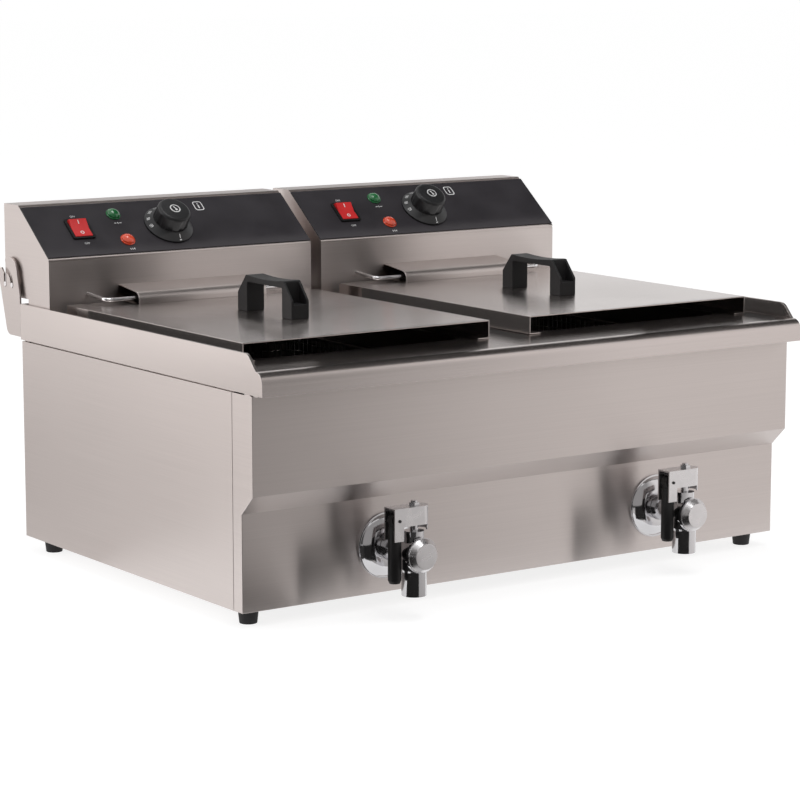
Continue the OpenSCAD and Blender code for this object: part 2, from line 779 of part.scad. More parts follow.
// body of a tap: inlet pipe, ball housing with its collar, spout and neck
module tap_body(side) {
    pipe_l = tap_reach - 3;
    spout_top = tap_z - tap_collar_d / 2 - 1;
    shoulder = tap_body_d / 2 - 0.5;
    color(chrome)
        difference() {
            union() {
                rod_y(tank_cx(side), stem_y, tap_z, pipe_l, tap_pipe_d);
                rod_y(tank_cx(side), stem_y - collar_front, tap_z, collar_front + tap_body_d / 2,
                      tap_body_d);
                rod_y(tank_cx(side), stem_y - collar_front, tap_z, collar_front - collar_back, tap_collar_d);
                translate([tank_cx(side), stem_y, 0])
                    rotate_extrude()
                        polygon([[0, spout_z], [spout_od / 2, spout_z], [spout_od / 2, spout_top],
                                 [shoulder, spout_top + spout_cone_h], [shoulder, tap_z], [0, tap_z]]);
                translate([tank_cx(side), stem_y, tap_z]) cylinder(h = neck_top - tap_z, d = tap_neck_d);
            }
            rod_y(tank_cx(side), stem_y, tap_z, pipe_l + cut, drain_bore_d);
            rod_y(tank_cx(side), stem_y + tap_reach - rosette_depth - seat_gap, tap_z, rosette_depth + cut,
                  drain_od + 0.2);
            translate([tank_cx(side), stem_y, tap_z]) sphere(d = tap_ball_d + 2 * tap_fit);
            rod_y(tank_cx(side), stem_y - collar_front - cut, tap_z, collar_front + cut, ball_bore);
            translate([tank_cx(side), stem_y, spout_z - cut])
                cylinder(h = tap_z - spout_z + cut, d = spout_bore_d);
            translate([tank_cx(side), stem_y, tap_z])
                cylinder(h = neck_top - tap_z + cut, d = stem_d + 2 * tap_fit);
        }
}

module tap_cap(side) {
    color(chrome)
        round_tap_axis(side, stem_y - collar_front)
            polygon([[0, 0], [tap_collar_d / 2 - 0.6, 0], [tap_collar_d / 2 - 0.6, 1],
                     [tap_cap_d / 2 + 0.3, tap_front - collar_front - 0.8],
                     [tap_cap_d / 2, tap_front - collar_front], [0, tap_front - collar_front]]);
}

// stem with its ball below and its nut on top of the lever
module tap_stem(side) {
    color(chrome)
        translate([tank_cx(side), stem_y, 0])
            difference() {
                union() {
                    translate([0, 0, tap_z]) sphere(d = tap_ball_d);
                    translate([0, 0, tap_z]) cylinder(h = lever_z - tap_z, d = stem_d);
                    translate([0, 0, lever_z]) cylinder(h = 3, d = 10.5, $fn = 6);
                    translate([0, 0, lever_z + 3]) cylinder(h = 1.6, d = 6);
                }
                translate([-tap_ball_d, 0, tap_z]) rotate([0, 90, 0])
                    cylinder(h = 2 * tap_ball_d, d = ball_hole);
            }
}

// top view of the lever, inset by the given depth
module lever_plan(inset) {
    half = lever_w / 2 - inset;
    translate([-lever_arm - 1, -half]) square([lever_arm + 1 + lever_nose, 2 * half]);
    translate([lever_nose, 0]) circle(half);
}

module tap_lever(side) {
    leg_z = lever_z - lever_leg_h;
    color(chrome)
        translate([tank_cx(side), stem_y, 0])
            difference() {
                translate([0, 0, leg_z]) linear_extrude(lever_leg_h) lever_plan(0);
                translate([0, 0, leg_z - cut])
                    linear_extrude(lever_leg_h - lever_t + cut) lever_plan(lever_t);
                translate([-lever_arm - 10, -lever_w, leg_z - cut])
                    cube([10, 2 * lever_w, lever_leg_h + 2 * cut]);
                translate([-lever_arm + lever_leg_w, -lever_w, leg_z - cut])
                    cube([lever_arm * 2, 2 * lever_w, lever_leg_h - lever_nose_h + cut]);
                translate([-lever_arm + lever_leg_w, -lever_w, leg_z - cut])
                    cube([lever_arm - lever_leg_w + 9, 2 * lever_w, lever_leg_h - lever_flange_h + cut]);
                translate([0, 0, lever_z - 2 * lever_t]) cylinder(h = 3 * lever_t, d = stem_d + 0.1);
                rod_y(-grip_pivot_x, -lever_w, lever_z - grip_pivot_drop, 2 * lever_w, rivet_d);
            }
}

// grip with its rivet: it hangs beside the spout and folds up about the rivet
module tap_grip(side) {
    pivot = lever_z - grip_pivot_drop;
    color(black)
        translate([tank_cx(side) - grip_pivot_x, stem_y, pivot])
            union() {
                translate([0, 0, -grip_l + grip_d / 4]) cylinder(h = grip_l - grip_d / 4 - 6, d = grip_d);
                translate([0, 0, -grip_l]) cylinder(h = grip_d / 4, d1 = grip_d - 2.5, d2 = grip_d);
                translate([0, 0, -7]) cylinder(h = 7, d = grip_d - 1.5);
                rotate([90, 0, 0]) translate([0, 0, -4]) cylinder(h = 8, d = grip_d - 1.5);
                rod_y(0, -lever_w / 2 - 0.8, 0, lever_w + 1.6, rivet_d - 0.1);
            }
}

// ---------------------------------------------------------------- heads

// side view of a head, with its walls moved in by the given depth
module head_outline(inset) {
    a = slope_angle;
    floor_z = head_floor + inset;
    front = head_front + inset;
    top = head_top - inset;
    slope_low = head_slope_z - inset * cos(a) + inset * (1 - sin(a)) * tan(a);
    slope_back = head_front + inset * sin(a) + (top - head_slope_z + inset * cos(a)) / tan(a);
    polygon([[front, floor_z], [front, slope_low], [slope_back, top], [head_rear - sheet, top],
             [head_rear - sheet, relief_z + inset], [relief_y - inset, relief_z + inset],
             [relief_y - inset, floor_z]]);
}

// places a piece on a head's sloping front: x from the head's left side, s up the slope
module on_slope(side, x, s) {
    translate([head_left(side) + x, head_front + s * cos(slope_angle), head_slope_z + s * sin(slope_angle)])
        rotate([slope_angle, 0, 0])
            children();
}

// holes for the controls, through the slope from below
module control_holes(side, clearance) {
    on_slope(side, switch_x, switch_s)
        translate([-(frame_w - 3) / 2 - clearance, -(frame_l - 2) / 2 - clearance, -10])
            cube([frame_w - 3 + 2 * clearance, frame_l - 2 + 2 * clearance, 20]);
    for (s = [power_lamp_s, heat_lamp_s])
        on_slope(side, lamp_x, s) translate([0, 0, -10]) cylinder(h = 20, d = lamp_d - 4 + 2 * clearance);
    on_slope(side, knob_x, knob_s) translate([0, 0, -10]) cylinder(h = 20, d = shaft_d + 1 + 2 * clearance);
}

module head_casing(side) {
    color(steel)
        difference() {
            along_x(head_left(side), head_w) head_outline(0);
            along_x(head_left(side) + sheet, head_w - 2 * sheet) {
                head_outline(sheet);
                translate([head_rear - 2 * sheet, relief_z + sheet])
                    square([2 * sheet, head_top - relief_z - 2 * sheet]);
            }
            control_holes(side, 0.2);
            on_slope(side, -cut, (plate_margin + plate_l + slope_l) / 2 - seam_w / 4)
                translate([0, 0, -seam_depth])
                    cube([head_w + 2 * cut, seam_w, seam_depth + cut]);
            translate([head_left(side) - cut, head_front - cut, head_slope_z - 1 - seam_w])
                cube([head_w + 2 * cut, seam_depth + cut, seam_w]);
            for (x = [-1, 1]) {
                rod_y(tank_cx(side) + x * element_half_w, head_front - cut, element_top_z,
                      sheet + 2 * cut, element_d + 0.4);
                rest_frame(side)
                    rest_leg(x) rotate([90, 0, 0]) cylinder(h = 12, d = rest_d + 0.1, center = true);
            }
            for (x = [head_left(side), head_right(side)], y = [pivot_y, pivot_y - pin_pitch])
                translate([x, y, pivot_z]) rotate([0, 90, 0])
                    cylinder(h = 8, d = pin_d + 0.1, center = true);
        }
}

module head_back(side) {
    color(steel)
        difference() {
            translate([head_left(side), head_rear - sheet, relief_z])
                cube([head_w, sheet, head_top - relief_z]);
            rod_y(head_left(side) + inlet_x, head_rear - sheet - cut, deck_z + inlet_h, sheet + 2 * cut,
                  inlet_nose_d + 0.2);
        }
}

module control_plate(side) {
    color(black)
        difference() {
            on_slope(side, 0, plate_margin)
                translate([0, 0, touch_gap]) cube([head_w, plate_l, plate_t - touch_gap]);
            control_holes(side, 0.2);
        }
}

module switch_frame(side) {
    depth = 16;
    hole_w = rocker_w + 0.6;
    hole_l = rocker_l + 0.6;
    color(black)
        on_slope(side, switch_x, switch_s)
            difference() {
                union() {
                    translate([0, 0, plate_t]) linear_extrude(2) rounded_rect(frame_w, frame_l, 2);
                    translate([-(frame_w - 3) / 2, -(frame_l - 2) / 2, -depth])
                        cube([frame_w - 3, frame_l - 2, depth + plate_t]);
                }
                translate([-hole_w / 2, -hole_l / 2, -depth + 2]) cube([hole_w, hole_l, depth + 10]);
                translate([0, 0, rocker_axis]) rotate([0, 90, 0])
                    cylinder(h = frame_w - 4, d = rocker_pin_d + 2 * tap_fit, center = true);
            }
}

module rocker(side) {
    color("#c8242b")
        on_slope(side, switch_x, switch_s)
            translate([0, 0, rocker_axis])
                rotate([rocker_tilt, 0, 0])
                    union() {
                        rotate([90, 0, 90])
                            linear_extrude(rocker_w, center = true)
                                intersection() {
                                    circle(rocker_l / 2);
                                    polygon([[-rocker_l, -6], [rocker_l, -6],
                                             [rocker_l, 3.2 + rocker_l * tan(rocker_tilt)], [0, 3.2],
                                             [-rocker_l, 3.2 + rocker_l * tan(rocker_tilt)]]);
                                }
                        rotate([0, 90, 0]) cylinder(h = rocker_w + 1.2, d = rocker_pin_d, center = true);
                    }
}

// indicator lamp: a domed lens on a barrel that goes through the control plate
module lamp(side, s, tint) {
    rim = lamp_d / 2;
    color(tint)
        on_slope(side, lamp_x, s)
            rotate_extrude() {
                translate([0, -14]) square([rim - 2, 14 + plate_t]);
                translate([0, plate_t]) square([rim, 1.2]);
                intersection() {
                    translate([0, plate_t + 1.2 + 4.6 - 9]) circle(9);
                    translate([0, plate_t + 1]) square([rim - 1, 8]);
                }
            }
}

// knob: a conical skirt and a tall grip with shallow flutes and a rounded top
module knob(side) {
    grip_r = knob_grip_d / 2;
    top_r = grip_r - 0.8;
    round_z = knob_h - 1 - knob_round_r;
    flutes = 9;
    flute_r = 9;
    corner = [for (a = [0 : 15 : 90])
        [top_r - knob_round_r * (1 - cos(a)), round_z + knob_round_r * sin(a)]];
    color(black)
        on_slope(side, knob_x, knob_s)
            translate([0, 0, plate_t + seat_gap])
                difference() {
                    rotate_extrude()
                        polygon(concat([[0, 0], [knob_d / 2, 0], [knob_d / 2, 1.5],
                                        [grip_r + 0.6, knob_skirt_h - 0.5], [grip_r, knob_skirt_h]],
                                       corner, [[0, knob_h]]));
                    for (i = [0 : flutes - 1])
                        rotate([0, 0, i * 360 / flutes])
                            translate([grip_r + flute_r - flute_depth, 0, knob_skirt_h + 0.5])
                                cylinder(h = knob_h, r = flute_r);
                    translate([0, 0, -cut]) cylinder(h = 14 + cut, d = shaft_d + 2 * tap_fit);
                }
}

// thermostat behind the control plate, with the shaft that carries the knob
module thermostat(side) {
    color(steel_dark)
        on_slope(side, knob_x, knob_s)
            union() {
                translate([-20, -17, -sheet - 24 - touch_gap]) cube([40, 34, 24]);
                translate([0, 0, -sheet - 1]) cylinder(h = sheet + 1 + plate_t + seat_gap + 13, d = shaft_d);
            }
}

module pivot_pins(side) {
    proud = bracket_gap + bracket_t + pin_proud;
    color(chrome)
        for (end = [-1, 1], y = [pivot_y, pivot_y - pin_pitch]) {
            x = end < 0 ? head_left(side) - proud : head_right(side) - sheet - 2;
            translate([x, y, pivot_z]) rotate([0, 90, 0]) cylinder(h = proud + sheet + 2, d = pin_d);
            translate([end < 0 ? head_left(side) + sheet : head_right(side) - sheet - 3, y, pivot_z])
                rotate([0, 90, 0]) cylinder(h = 3, d = pin_d + 4, $fn = 6);
        }
}

// ---------------------------------------------------------------- elements, covers and rests

// heating tube: an upright at each end, and four runs joined by bends over the tank's floor
module heating_element(side) {
    turn_r = element_pitch / 2;
    lead_l = element_out + element_in - element_bend_r;
    drop = element_top_z - element_z - 2 * element_bend_r;
    back_y = head_front - element_out - element_bend_r;
    long_run = back_y - (tank_front + element_front_gap + element_d / 2 + turn_r);
    short_run = long_run - element_inner_drop;
    color("#6f6a66")
        translate([tank_cx(side), 0, 0]) {
            for (x = [-1, 1])
                translate([x * element_half_w, head_front + element_in, element_top_z])
                    rotate([0, 90, 180])
                        bent_rod([[lead_l, element_bend_r, -90], [drop, element_bend_r, 90]], element_d);
            translate([-element_half_w, back_y, element_z])
                rotate([0, 0, 180])
                    bent_rod([[long_run, turn_r, 180], [short_run, turn_r, -180],
                              [short_run, turn_r, 180], [long_run, 1, 0]], element_d);
        }
}

// cover over the element's top ends: a sheet with an upright front, a rounded nose and a sloping top
module element_cover(side) {
    tilt = atan2(cover_drop, cover_out - cover_nose_r);
    nose_y = cover_front + cover_nose_r;
    nose_z = deck_z + cover_h - cover_drop - cover_nose_r;
    flat_l = (cover_out - cover_nose_r + cover_nose_r * sin(tilt)) / cos(tilt);
    rear = [head_front, nose_z + cover_nose_r * cos(tilt) + flat_l * sin(tilt)];
    bend = [for (i = [0 : cover_bend_steps]) 180 - i * (90 - tilt) / cover_bend_steps];
    outer = [for (a = bend) [nose_y + cover_nose_r * cos(a), nose_z + cover_nose_r * sin(a)]];
    inner_r = cover_nose_r - cover_t;
    inner = [for (a = bend) [nose_y + inner_r * cos(a), nose_z + inner_r * sin(a)]];
    back = [for (i = [cover_bend_steps : -1 : 0]) inner[i]];
    color(steel)
        along_x(tank_cx(side) - cover_half_w, 2 * cover_half_w)
            polygon(concat([[cover_front, cover_floor]], outer,
                           [rear, rear - [0, cover_t / cos(tilt)]], back,
                           [[cover_front + cover_t, cover_floor]]));
}

// the sloping plane of a basket rest, with its origin in the head's front
module rest_frame(side) {
    translate([tank_cx(side), head_front, deck_z + rest_h + rest_rise]) rotate([rest_tilt, 0, 0]) children();
}

// places a piece along one of the rest's splayed legs, which points to the front along +Y
module rest_leg(x) {
    translate([x * rest_half_w, 0, 0]) rotate([0, 0, 180 - x * rest_splay]) children();
}

// U-shaped wire: two splayed legs out of the head and the bar between them
module basket_rest(side) {
    reach = rest_out / cos(rest_tilt);
    turn = 90 - rest_splay;
    corner = rest_bend_r * tan(turn / 2);
    leg_l = reach / cos(rest_splay) + rest_in - corner;
    bar_half = rest_half_w - reach * tan(rest_splay) - corner;
    bar_l = 2 * (bar_half + 4 * rest_weld);
    color(chrome)
        rest_frame(side) {
            for (x = [-1, 1])
                rest_leg(x)
                    translate([0, -rest_in, 0])
                        bent_rod([[leg_l, rest_bend_r, -x * turn]], rest_d, rest_weld);
            translate([-bar_l / 2, -reach, 0]) rotate([0, 90, 0]) cylinder(h = bar_l, d = rest_d);
        }
}

// ---------------------------------------------------------------- baskets, lids and inlets

// a row of openings with its middle in the origin: length over all, and the span of each across and up
module slot_row(length, across, up) {
    pitch = (length - 2 * basket_border - basket_slot_w) / (basket_slots - 1);
    for (i = [0 : basket_slots - 1])
        translate([(i - (basket_slots - 1) / 2) * pitch - basket_slot_w / 2, -across / 2, 0])
            cube([basket_slot_w, across, up]);
}

// basket: mesh walls and floor with openings, and a stiff rim
module basket(side) {
    t = basket_mesh_t;
    mesh_w = basket_w - basket_rim_d + t;
    mesh_l = basket_l - basket_rim_d + t;
    rim_z = basket_h - basket_rim_d / 2;
    rim_r = basket_corner_r + 2;
    slot_h = rim_z - 2 * basket_border;
    color(chrome)
        translate([tank_cx(side), basket_mid_y, basket_floor])
            difference() {
                union() {
                    linear_extrude(rim_z) rounded_rect(mesh_w, mesh_l, basket_corner_r);
                    translate([0, 0, rim_z])
                        linear_extrude(basket_rim_d / 2) rounded_rect(basket_w, basket_l, rim_r);
                }
                translate([0, 0, t]) linear_extrude(rim_z - t)
                    rounded_rect(mesh_w - 2 * t, mesh_l - 2 * t, basket_corner_r - t);
                translate([0, 0, rim_z - cut]) linear_extrude(basket_rim_d + cut)
                    rounded_rect(basket_w - 2 * basket_rim_d, basket_l - 2 * basket_rim_d,
                                 rim_r - basket_rim_d);
                translate([0, 0, basket_border])
                    slot_row(mesh_w - 2 * basket_corner_r, 2 * basket_l, slot_h);
                translate([0, 0, basket_border]) rotate([0, 0, 90])
                    slot_row(mesh_l - 2 * basket_corner_r, 2 * basket_w, slot_h);
                translate([0, 0, -cut]) slot_row(mesh_w, mesh_l - 2 * basket_border, t + 2 * cut);
            }
}

module lid(side) {
    w = lid_w;
    l = lid_rear_y - lid_front_y;
    notch_w = 2 * (cover_half_w + notch_gap);
    notch_l = lid_rear_y - cover_front + notch_gap;
    color(steel)
        translate([tank_cx(side), 0, 0])
            difference() {
                translate([-w / 2, lid_front_y, lid_floor]) cube([w, l, lid_h]);
                translate([-w / 2 + lid_t, lid_front_y - cut, lid_floor + lid_t])
                    cube([w - 2 * lid_t, l + 2 * cut, lid_h - 2 * lid_t]);
                translate([-w / 2 + lid_lip, lid_front_y - cut, lid_floor - cut])
                    cube([w - 2 * lid_lip, l + 2 * cut, lid_h - lid_t]);
                translate([-notch_w / 2, lid_rear_y - notch_l, lid_floor - cut])
                    cube([notch_w, notch_l + cut, lid_h + 2 * cut]);
            }
}

module lid_handle(side) {
    opening = handle_l - 2 * handle_leg;
    dip_r = 300;
    corner = 2;
    pocket_w = handle_w - 5;
    color(black)
        translate([tank_cx(side) - handle_off, handle_y, lid_top])
            difference() {
                along_x(-handle_w / 2, handle_w)
                    difference() {
                        polygon([[-handle_l / 2, 0], [-handle_l / 2, handle_h - handle_slope_h],
                                 [-handle_l / 2 + handle_slope_l, handle_h],
                                 [handle_l / 2 - handle_slope_l, handle_h],
                                 [handle_l / 2, handle_h - handle_slope_h], [handle_l / 2, 0]]);
                        translate([-opening / 2, -cut])
                            square([opening, handle_h - handle_grip_t + cut - corner]);
                        translate([-opening / 2 + corner, -cut])
                            square([opening - 2 * corner, handle_h - handle_grip_t + cut]);
                        for (y = [-1, 1])
                            translate([y * (opening / 2 - corner), handle_h - handle_grip_t - corner])
                                circle(corner);
                        translate([0, handle_h + dip_r - 1.5]) circle(dip_r, $fn = 200);
                    }
                for (end = [-1, 1])
                    translate([-pocket_w / 2, end * (handle_l / 2 - 6) - 8, 14])
                        cube([pocket_w, 16, handle_h]);
            }
}

module cable_bush(side) {
    y = head_rear;
    color(black)
        translate([head_left(side) + inlet_x, y, deck_z + inlet_h])
            rotate([-90, 0, 0])
                rotate_extrude()
                    polygon([[inlet_bore_d / 2, -sheet - 6], [inlet_nose_d / 2, -sheet - 6],
                             [inlet_nose_d / 2, 0], [inlet_flange_d / 2, 0], [inlet_flange_d / 2, 2],
                             [inlet_nose_d / 2, 3.5], [inlet_nose_d / 2 - 1, inlet_out],
                             [inlet_bore_d / 2, inlet_out]]);
}

base_plate();
side_panel(left);  // side_panel_left
side_panel(right);  // side_panel_right
front_panel();
rear_panel();
deck();
tank(left);  // tank_left
tank(right);  // tank_right
foot(left, front_foot_y);  // foot_front_left
foot(right, front_foot_y);  // foot_front_right
foot(left, rear_foot_y);  // foot_rear_left
foot(right, rear_foot_y);  // foot_rear_right
body_screws();
head_brackets();
tap_rosette(left);  // tap_rosette_left
tap_rosette(right);  // tap_rosette_right
tap_body(left);  // tap_body_left
tap_body(right);  // tap_body_right
tap_cap(left);  // tap_cap_left
tap_cap(right);  // tap_cap_right
tap_lever(left);  // tap_lever_left
tap_lever(right);  // tap_lever_right
tap_stem(left);  // tap_stem_left
tap_stem(right);  // tap_stem_right
tap_grip(left);  // tap_grip_left
tap_grip(right);  // tap_grip_right
head_casing(left);  // head_casing_left
head_casing(right);  // head_casing_right
head_back(left);  // head_back_left
head_back(right);  // head_back_right
control_plate(left);  // control_plate_left
control_plate(right);  // control_plate_right
switch_frame(left);  // switch_frame_left
switch_frame(right);  // switch_frame_right
rocker(left);  // rocker_left
rocker(right);  // rocker_right
lamp(left, power_lamp_s, "#1f7a4a");  // power_lamp_left
lamp(right, power_lamp_s, "#1f7a4a");  // power_lamp_right
lamp(left, heat_lamp_s, "#c4471f");  // heat_lamp_left
lamp(right, heat_lamp_s, "#c4471f");  // heat_lamp_right
knob(left);  // knob_left
knob(right);  // knob_right
thermostat(left);  // thermostat_left
thermostat(right);  // thermostat_right
heating_element(left);  // heating_element_left
heating_element(right);  // heating_element_right
element_cover(left);  // element_cover_left
element_cover(right);  // element_cover_right
basket_rest(left);  // basket_rest_left
basket_rest(right);  // basket_rest_right
cable_bush(left);  // cable_bush_left
cable_bush(right);  // cable_bush_right
basket(left);  // basket_left
basket(right);  // basket_right
lid(left);  // lid_left
lid(right);  // lid_right
lid_handle(left);  // lid_handle_left
lid_handle(right);  // lid_handle_right
pivot_pins(left);  // pivot_pins_left
pivot_pins(right);  // pivot_pins_right
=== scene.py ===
# %% [markdown]
# # A twin countertop fryer in brushed steel
# The frame holds every rigid piece at its real size. This lesson dresses those pieces: it
# softens their folded edges, gives each one its finish, weaves the wire baskets and prints
# the marks on the controls. It starts with the modules and the frame, because everything
# else is placed from them.

# %% Load the frame
import json
import math

import bpy
from mathutils import Matrix, Vector

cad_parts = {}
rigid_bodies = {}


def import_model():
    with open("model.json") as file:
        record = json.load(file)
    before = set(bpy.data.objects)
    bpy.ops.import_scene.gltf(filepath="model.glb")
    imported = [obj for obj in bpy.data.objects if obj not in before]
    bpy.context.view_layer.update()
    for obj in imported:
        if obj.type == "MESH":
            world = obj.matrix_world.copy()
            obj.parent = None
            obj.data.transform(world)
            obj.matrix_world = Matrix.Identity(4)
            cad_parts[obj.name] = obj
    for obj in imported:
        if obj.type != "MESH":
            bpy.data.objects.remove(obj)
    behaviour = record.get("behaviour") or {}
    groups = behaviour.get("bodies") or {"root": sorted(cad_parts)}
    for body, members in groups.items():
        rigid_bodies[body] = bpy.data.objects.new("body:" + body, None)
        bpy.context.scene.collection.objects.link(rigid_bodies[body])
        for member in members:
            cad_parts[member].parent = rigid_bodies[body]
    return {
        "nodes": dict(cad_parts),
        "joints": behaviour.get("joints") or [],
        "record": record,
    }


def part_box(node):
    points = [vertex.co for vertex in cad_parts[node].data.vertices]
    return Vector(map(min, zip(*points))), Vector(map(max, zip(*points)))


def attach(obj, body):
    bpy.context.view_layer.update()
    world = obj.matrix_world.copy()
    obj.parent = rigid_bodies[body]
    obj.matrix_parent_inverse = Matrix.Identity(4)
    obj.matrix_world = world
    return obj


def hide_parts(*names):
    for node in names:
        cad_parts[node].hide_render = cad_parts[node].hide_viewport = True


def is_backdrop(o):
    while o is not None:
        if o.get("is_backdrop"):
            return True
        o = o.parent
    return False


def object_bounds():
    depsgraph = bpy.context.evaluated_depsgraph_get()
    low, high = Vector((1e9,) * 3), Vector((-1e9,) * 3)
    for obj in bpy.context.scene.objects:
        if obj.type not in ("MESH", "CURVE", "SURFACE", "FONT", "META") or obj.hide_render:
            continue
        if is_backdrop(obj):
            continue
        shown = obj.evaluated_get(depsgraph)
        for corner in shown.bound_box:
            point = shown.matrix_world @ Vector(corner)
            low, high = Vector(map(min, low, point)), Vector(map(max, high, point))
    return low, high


MM = 0.001
SIDES = ("left", "right")

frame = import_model()
cad_low, cad_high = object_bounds()
joints = {joint["name"]: joint for joint in frame["joints"]}
body_of = {}
for body, nodes in frame["record"]["behaviour"]["bodies"].items():
    body_of.update({node: body for node in nodes})
print("nodes:", len(frame["nodes"]), "size in mm:", [round(v / MM) for v in cad_high - cad_low])

# %% [markdown]
# ## The camera
# A box keeps its proportions when it is seen from far away through a long lens; from close
# by, its near corner would swell. The lens here stands about 2.9 m off, a little above the
# fryer and to its left, so that the front, the left side and both control plates show.

# %% Place the camera
CAMERA_PLACE = Vector((-1.6065, -2.2878, 0.6051))
CAMERA_YAW = 34.97
CAMERA_PITCH = 9.15
LENS = 125.17
SENSOR = 36

bpy.ops.object.camera_add(
    location=CAMERA_PLACE,
    rotation=(math.radians(90 - CAMERA_PITCH), 0, math.radians(-CAMERA_YAW)),
)
camera = bpy.context.object
camera.name = "camera"
camera.data.lens = LENS
camera.data.sensor_width = SENSOR
bpy.context.scene.camera = camera
print("camera distance in m:", round(CAMERA_PLACE.length, 2))

# %% [markdown]
# ## Starting a finish
# Every finish is a small network of shader nodes round one main shader. Colours are written
# as they look on screen and turned into the linear values that shaders use. Two helpers
# keep the networks readable: one starts a material, the other adds a node and sets its
# values.

# %% Colours and nodes
def srgb(red, green, blue):
    """A colour as seen on screen, from 0 to 255, as the linear colour that shaders use."""
    shares = (red / 255, green / 255, blue / 255)
    linear = [((c + 0.055) / 1.055) ** 2.4 if c > 10 / 255 else c / 12.92 for c in shares]
    return (*linear, 1)


def shifted(colour, factor, lift=0):
    """A screen colour made darker or lighter, as a linear colour."""
    return srgb(*[min(255, c * factor + lift) for c in colour])


def start_finish(name, colour, roughness, metallic=0.0):
    """A new material: the material, its node tree and its main shader."""
    material = bpy.data.materials.new(name)
    material.use_nodes = True
    tree = material.node_tree
    shader = tree.nodes["Principled BSDF"]
    shader.inputs["Base Color"].default_value = colour
    shader.inputs["Roughness"].default_value = roughness
    shader.inputs["Metallic"].default_value = metallic
    return material, tree, shader


def add_node(tree, kind, **values):
    """Adds a shader node; a value named after a socket sets it, and any other sets a property."""
    node = tree.nodes.new(kind)
    for name, value in values.items():
        socket = node.inputs.get(name.replace("_", " "))
        if socket:
            socket.default_value = value
        else:
            setattr(node, name, value)
    return node


print("mid grey on screen is", round(srgb(128, 128, 128)[0], 3), "in a shader")

# %% [markdown]
# ## Patterns on a finish
# A real surface is never one even tone, and a noise can break it up. Patterns read Object
# coordinates, which are metres here, so that a scale of 1000 means one feature a
# millimetre, and they stay on a piece when it moves. A noise seldom leaves its middle
# values, so these are spread over the range that a finish needs.

# %% Patterns
NOISE_LOW, NOISE_HIGH = 0.3, 0.7


def pattern(tree, scale, detail):
    """The output socket of a noise on Object coordinates."""
    place = add_node(tree, "ShaderNodeTexCoord")
    noise = add_node(tree, "ShaderNodeTexNoise", Scale=scale, Detail=detail)
    tree.links.new(place.outputs["Object"], noise.inputs["Vector"])
    return noise.outputs["Fac"]


def spread(tree, source, low, high, start=NOISE_LOW, end=NOISE_HIGH):
    """Maps a pattern between start and end onto values from low to high."""
    node = add_node(tree, "ShaderNodeMapRange")
    ends = {"From Min": start, "From Max": end, "To Min": low, "To Max": high}
    for socket, value in ends.items():
        node.inputs[socket].default_value = value
    tree.links.new(source, node.inputs["Value"])
    return node.outputs["Result"]


print("noise runs from about", NOISE_LOW, "to", NOISE_HIGH)

# %% [markdown]
# ## Patterns in the colour and the height
# A pattern can move the colour between two colours, and it can raise and lower the surface
# by a hair, which the light shows. The Mix node keeps a set of sockets for each kind of
# value, so the ones that are used here get names.

# %% Tint and relief
COLOUR_A, COLOUR_B, COLOUR_OUT = 6, 7, 2


def tint(tree, shader, source, dark, light):
    """Lets a pattern move the shader's colour between two colours."""
    mix = add_node(tree, "ShaderNodeMix", data_type="RGBA")
    mix.inputs[COLOUR_A].default_value = dark
    mix.inputs[COLOUR_B].default_value = light
    tree.links.new(source, mix.inputs[0])
    tree.links.new(mix.outputs[COLOUR_OUT], shader.inputs["Base Color"])


def relief(tree, shader, source, distance, strength):
    """Lets a pattern raise the surface by a distance in metres."""
    bump = add_node(tree, "ShaderNodeBump", Strength=strength, Distance=distance)
    tree.links.new(source, bump.inputs["Height"])
    tree.links.new(bump.outputs["Normal"], shader.inputs["Normal"])


print("helpers for patterns:", [use.__name__ for use in (pattern, spread, tint, relief)])

# %% [markdown]
# ## The grain of brushed steel
# Sheet steel for kitchens is ground with a belt, which leaves fine lines along one
# direction. On this fryer the lines run from left to right, and on the two side faces from
# front to rear. A noise gives such lines when its coordinates are squeezed along them. The
# face's own normal tells which of the two directions holds, so one material serves every
# sheet.

# %% The grain
VECTOR_A, VECTOR_B, VECTOR_OUT = 4, 5, 1
LINE_STRETCH = 0.006
SIDE_FACE = 0.7
ACROSS_FRONT = (0, 1, 1)
ACROSS_SIDE = (0, 0, 1)


def is_side_face(tree, place):
    """One on faces that look to the left or right, and zero elsewhere."""
    parts = add_node(tree, "ShaderNodeSeparateXYZ")
    size = add_node(tree, "ShaderNodeMath", operation="ABSOLUTE")
    is_side = add_node(tree, "ShaderNodeMath", operation="GREATER_THAN")
    is_side.inputs[1].default_value = SIDE_FACE
    tree.links.new(place.outputs["Normal"], parts.inputs[0])
    tree.links.new(parts.outputs["X"], size.inputs[0])
    tree.links.new(size.outputs[0], is_side.inputs[0])
    return is_side.outputs[0]


def along_the_grain(tree):
    """Coordinates that are squeezed along the lines, and the direction across the lines."""
    place = add_node(tree, "ShaderNodeTexCoord")
    grain = add_node(tree, "ShaderNodeMix", data_type="VECTOR")
    across = add_node(tree, "ShaderNodeMix", data_type="VECTOR")
    front = (VECTOR_A, (LINE_STRETCH, 1, 1), ACROSS_FRONT)
    side = (VECTOR_B, (1, LINE_STRETCH, 1), ACROSS_SIDE)
    for socket, squeeze, direction in (front, side):
        mapping = add_node(tree, "ShaderNodeMapping", Scale=squeeze)
        tree.links.new(place.outputs["Object"], mapping.inputs["Vector"])
        tree.links.new(mapping.outputs["Vector"], grain.inputs[socket])
        across.inputs[socket].default_value = direction
    choice = is_side_face(tree, place)
    for mix in (grain, across):
        tree.links.new(choice, mix.inputs[0])
    return grain.outputs[VECTOR_OUT], across.outputs[VECTOR_OUT]


print("a line is", round(1 / LINE_STRETCH), "times as long as it is wide")

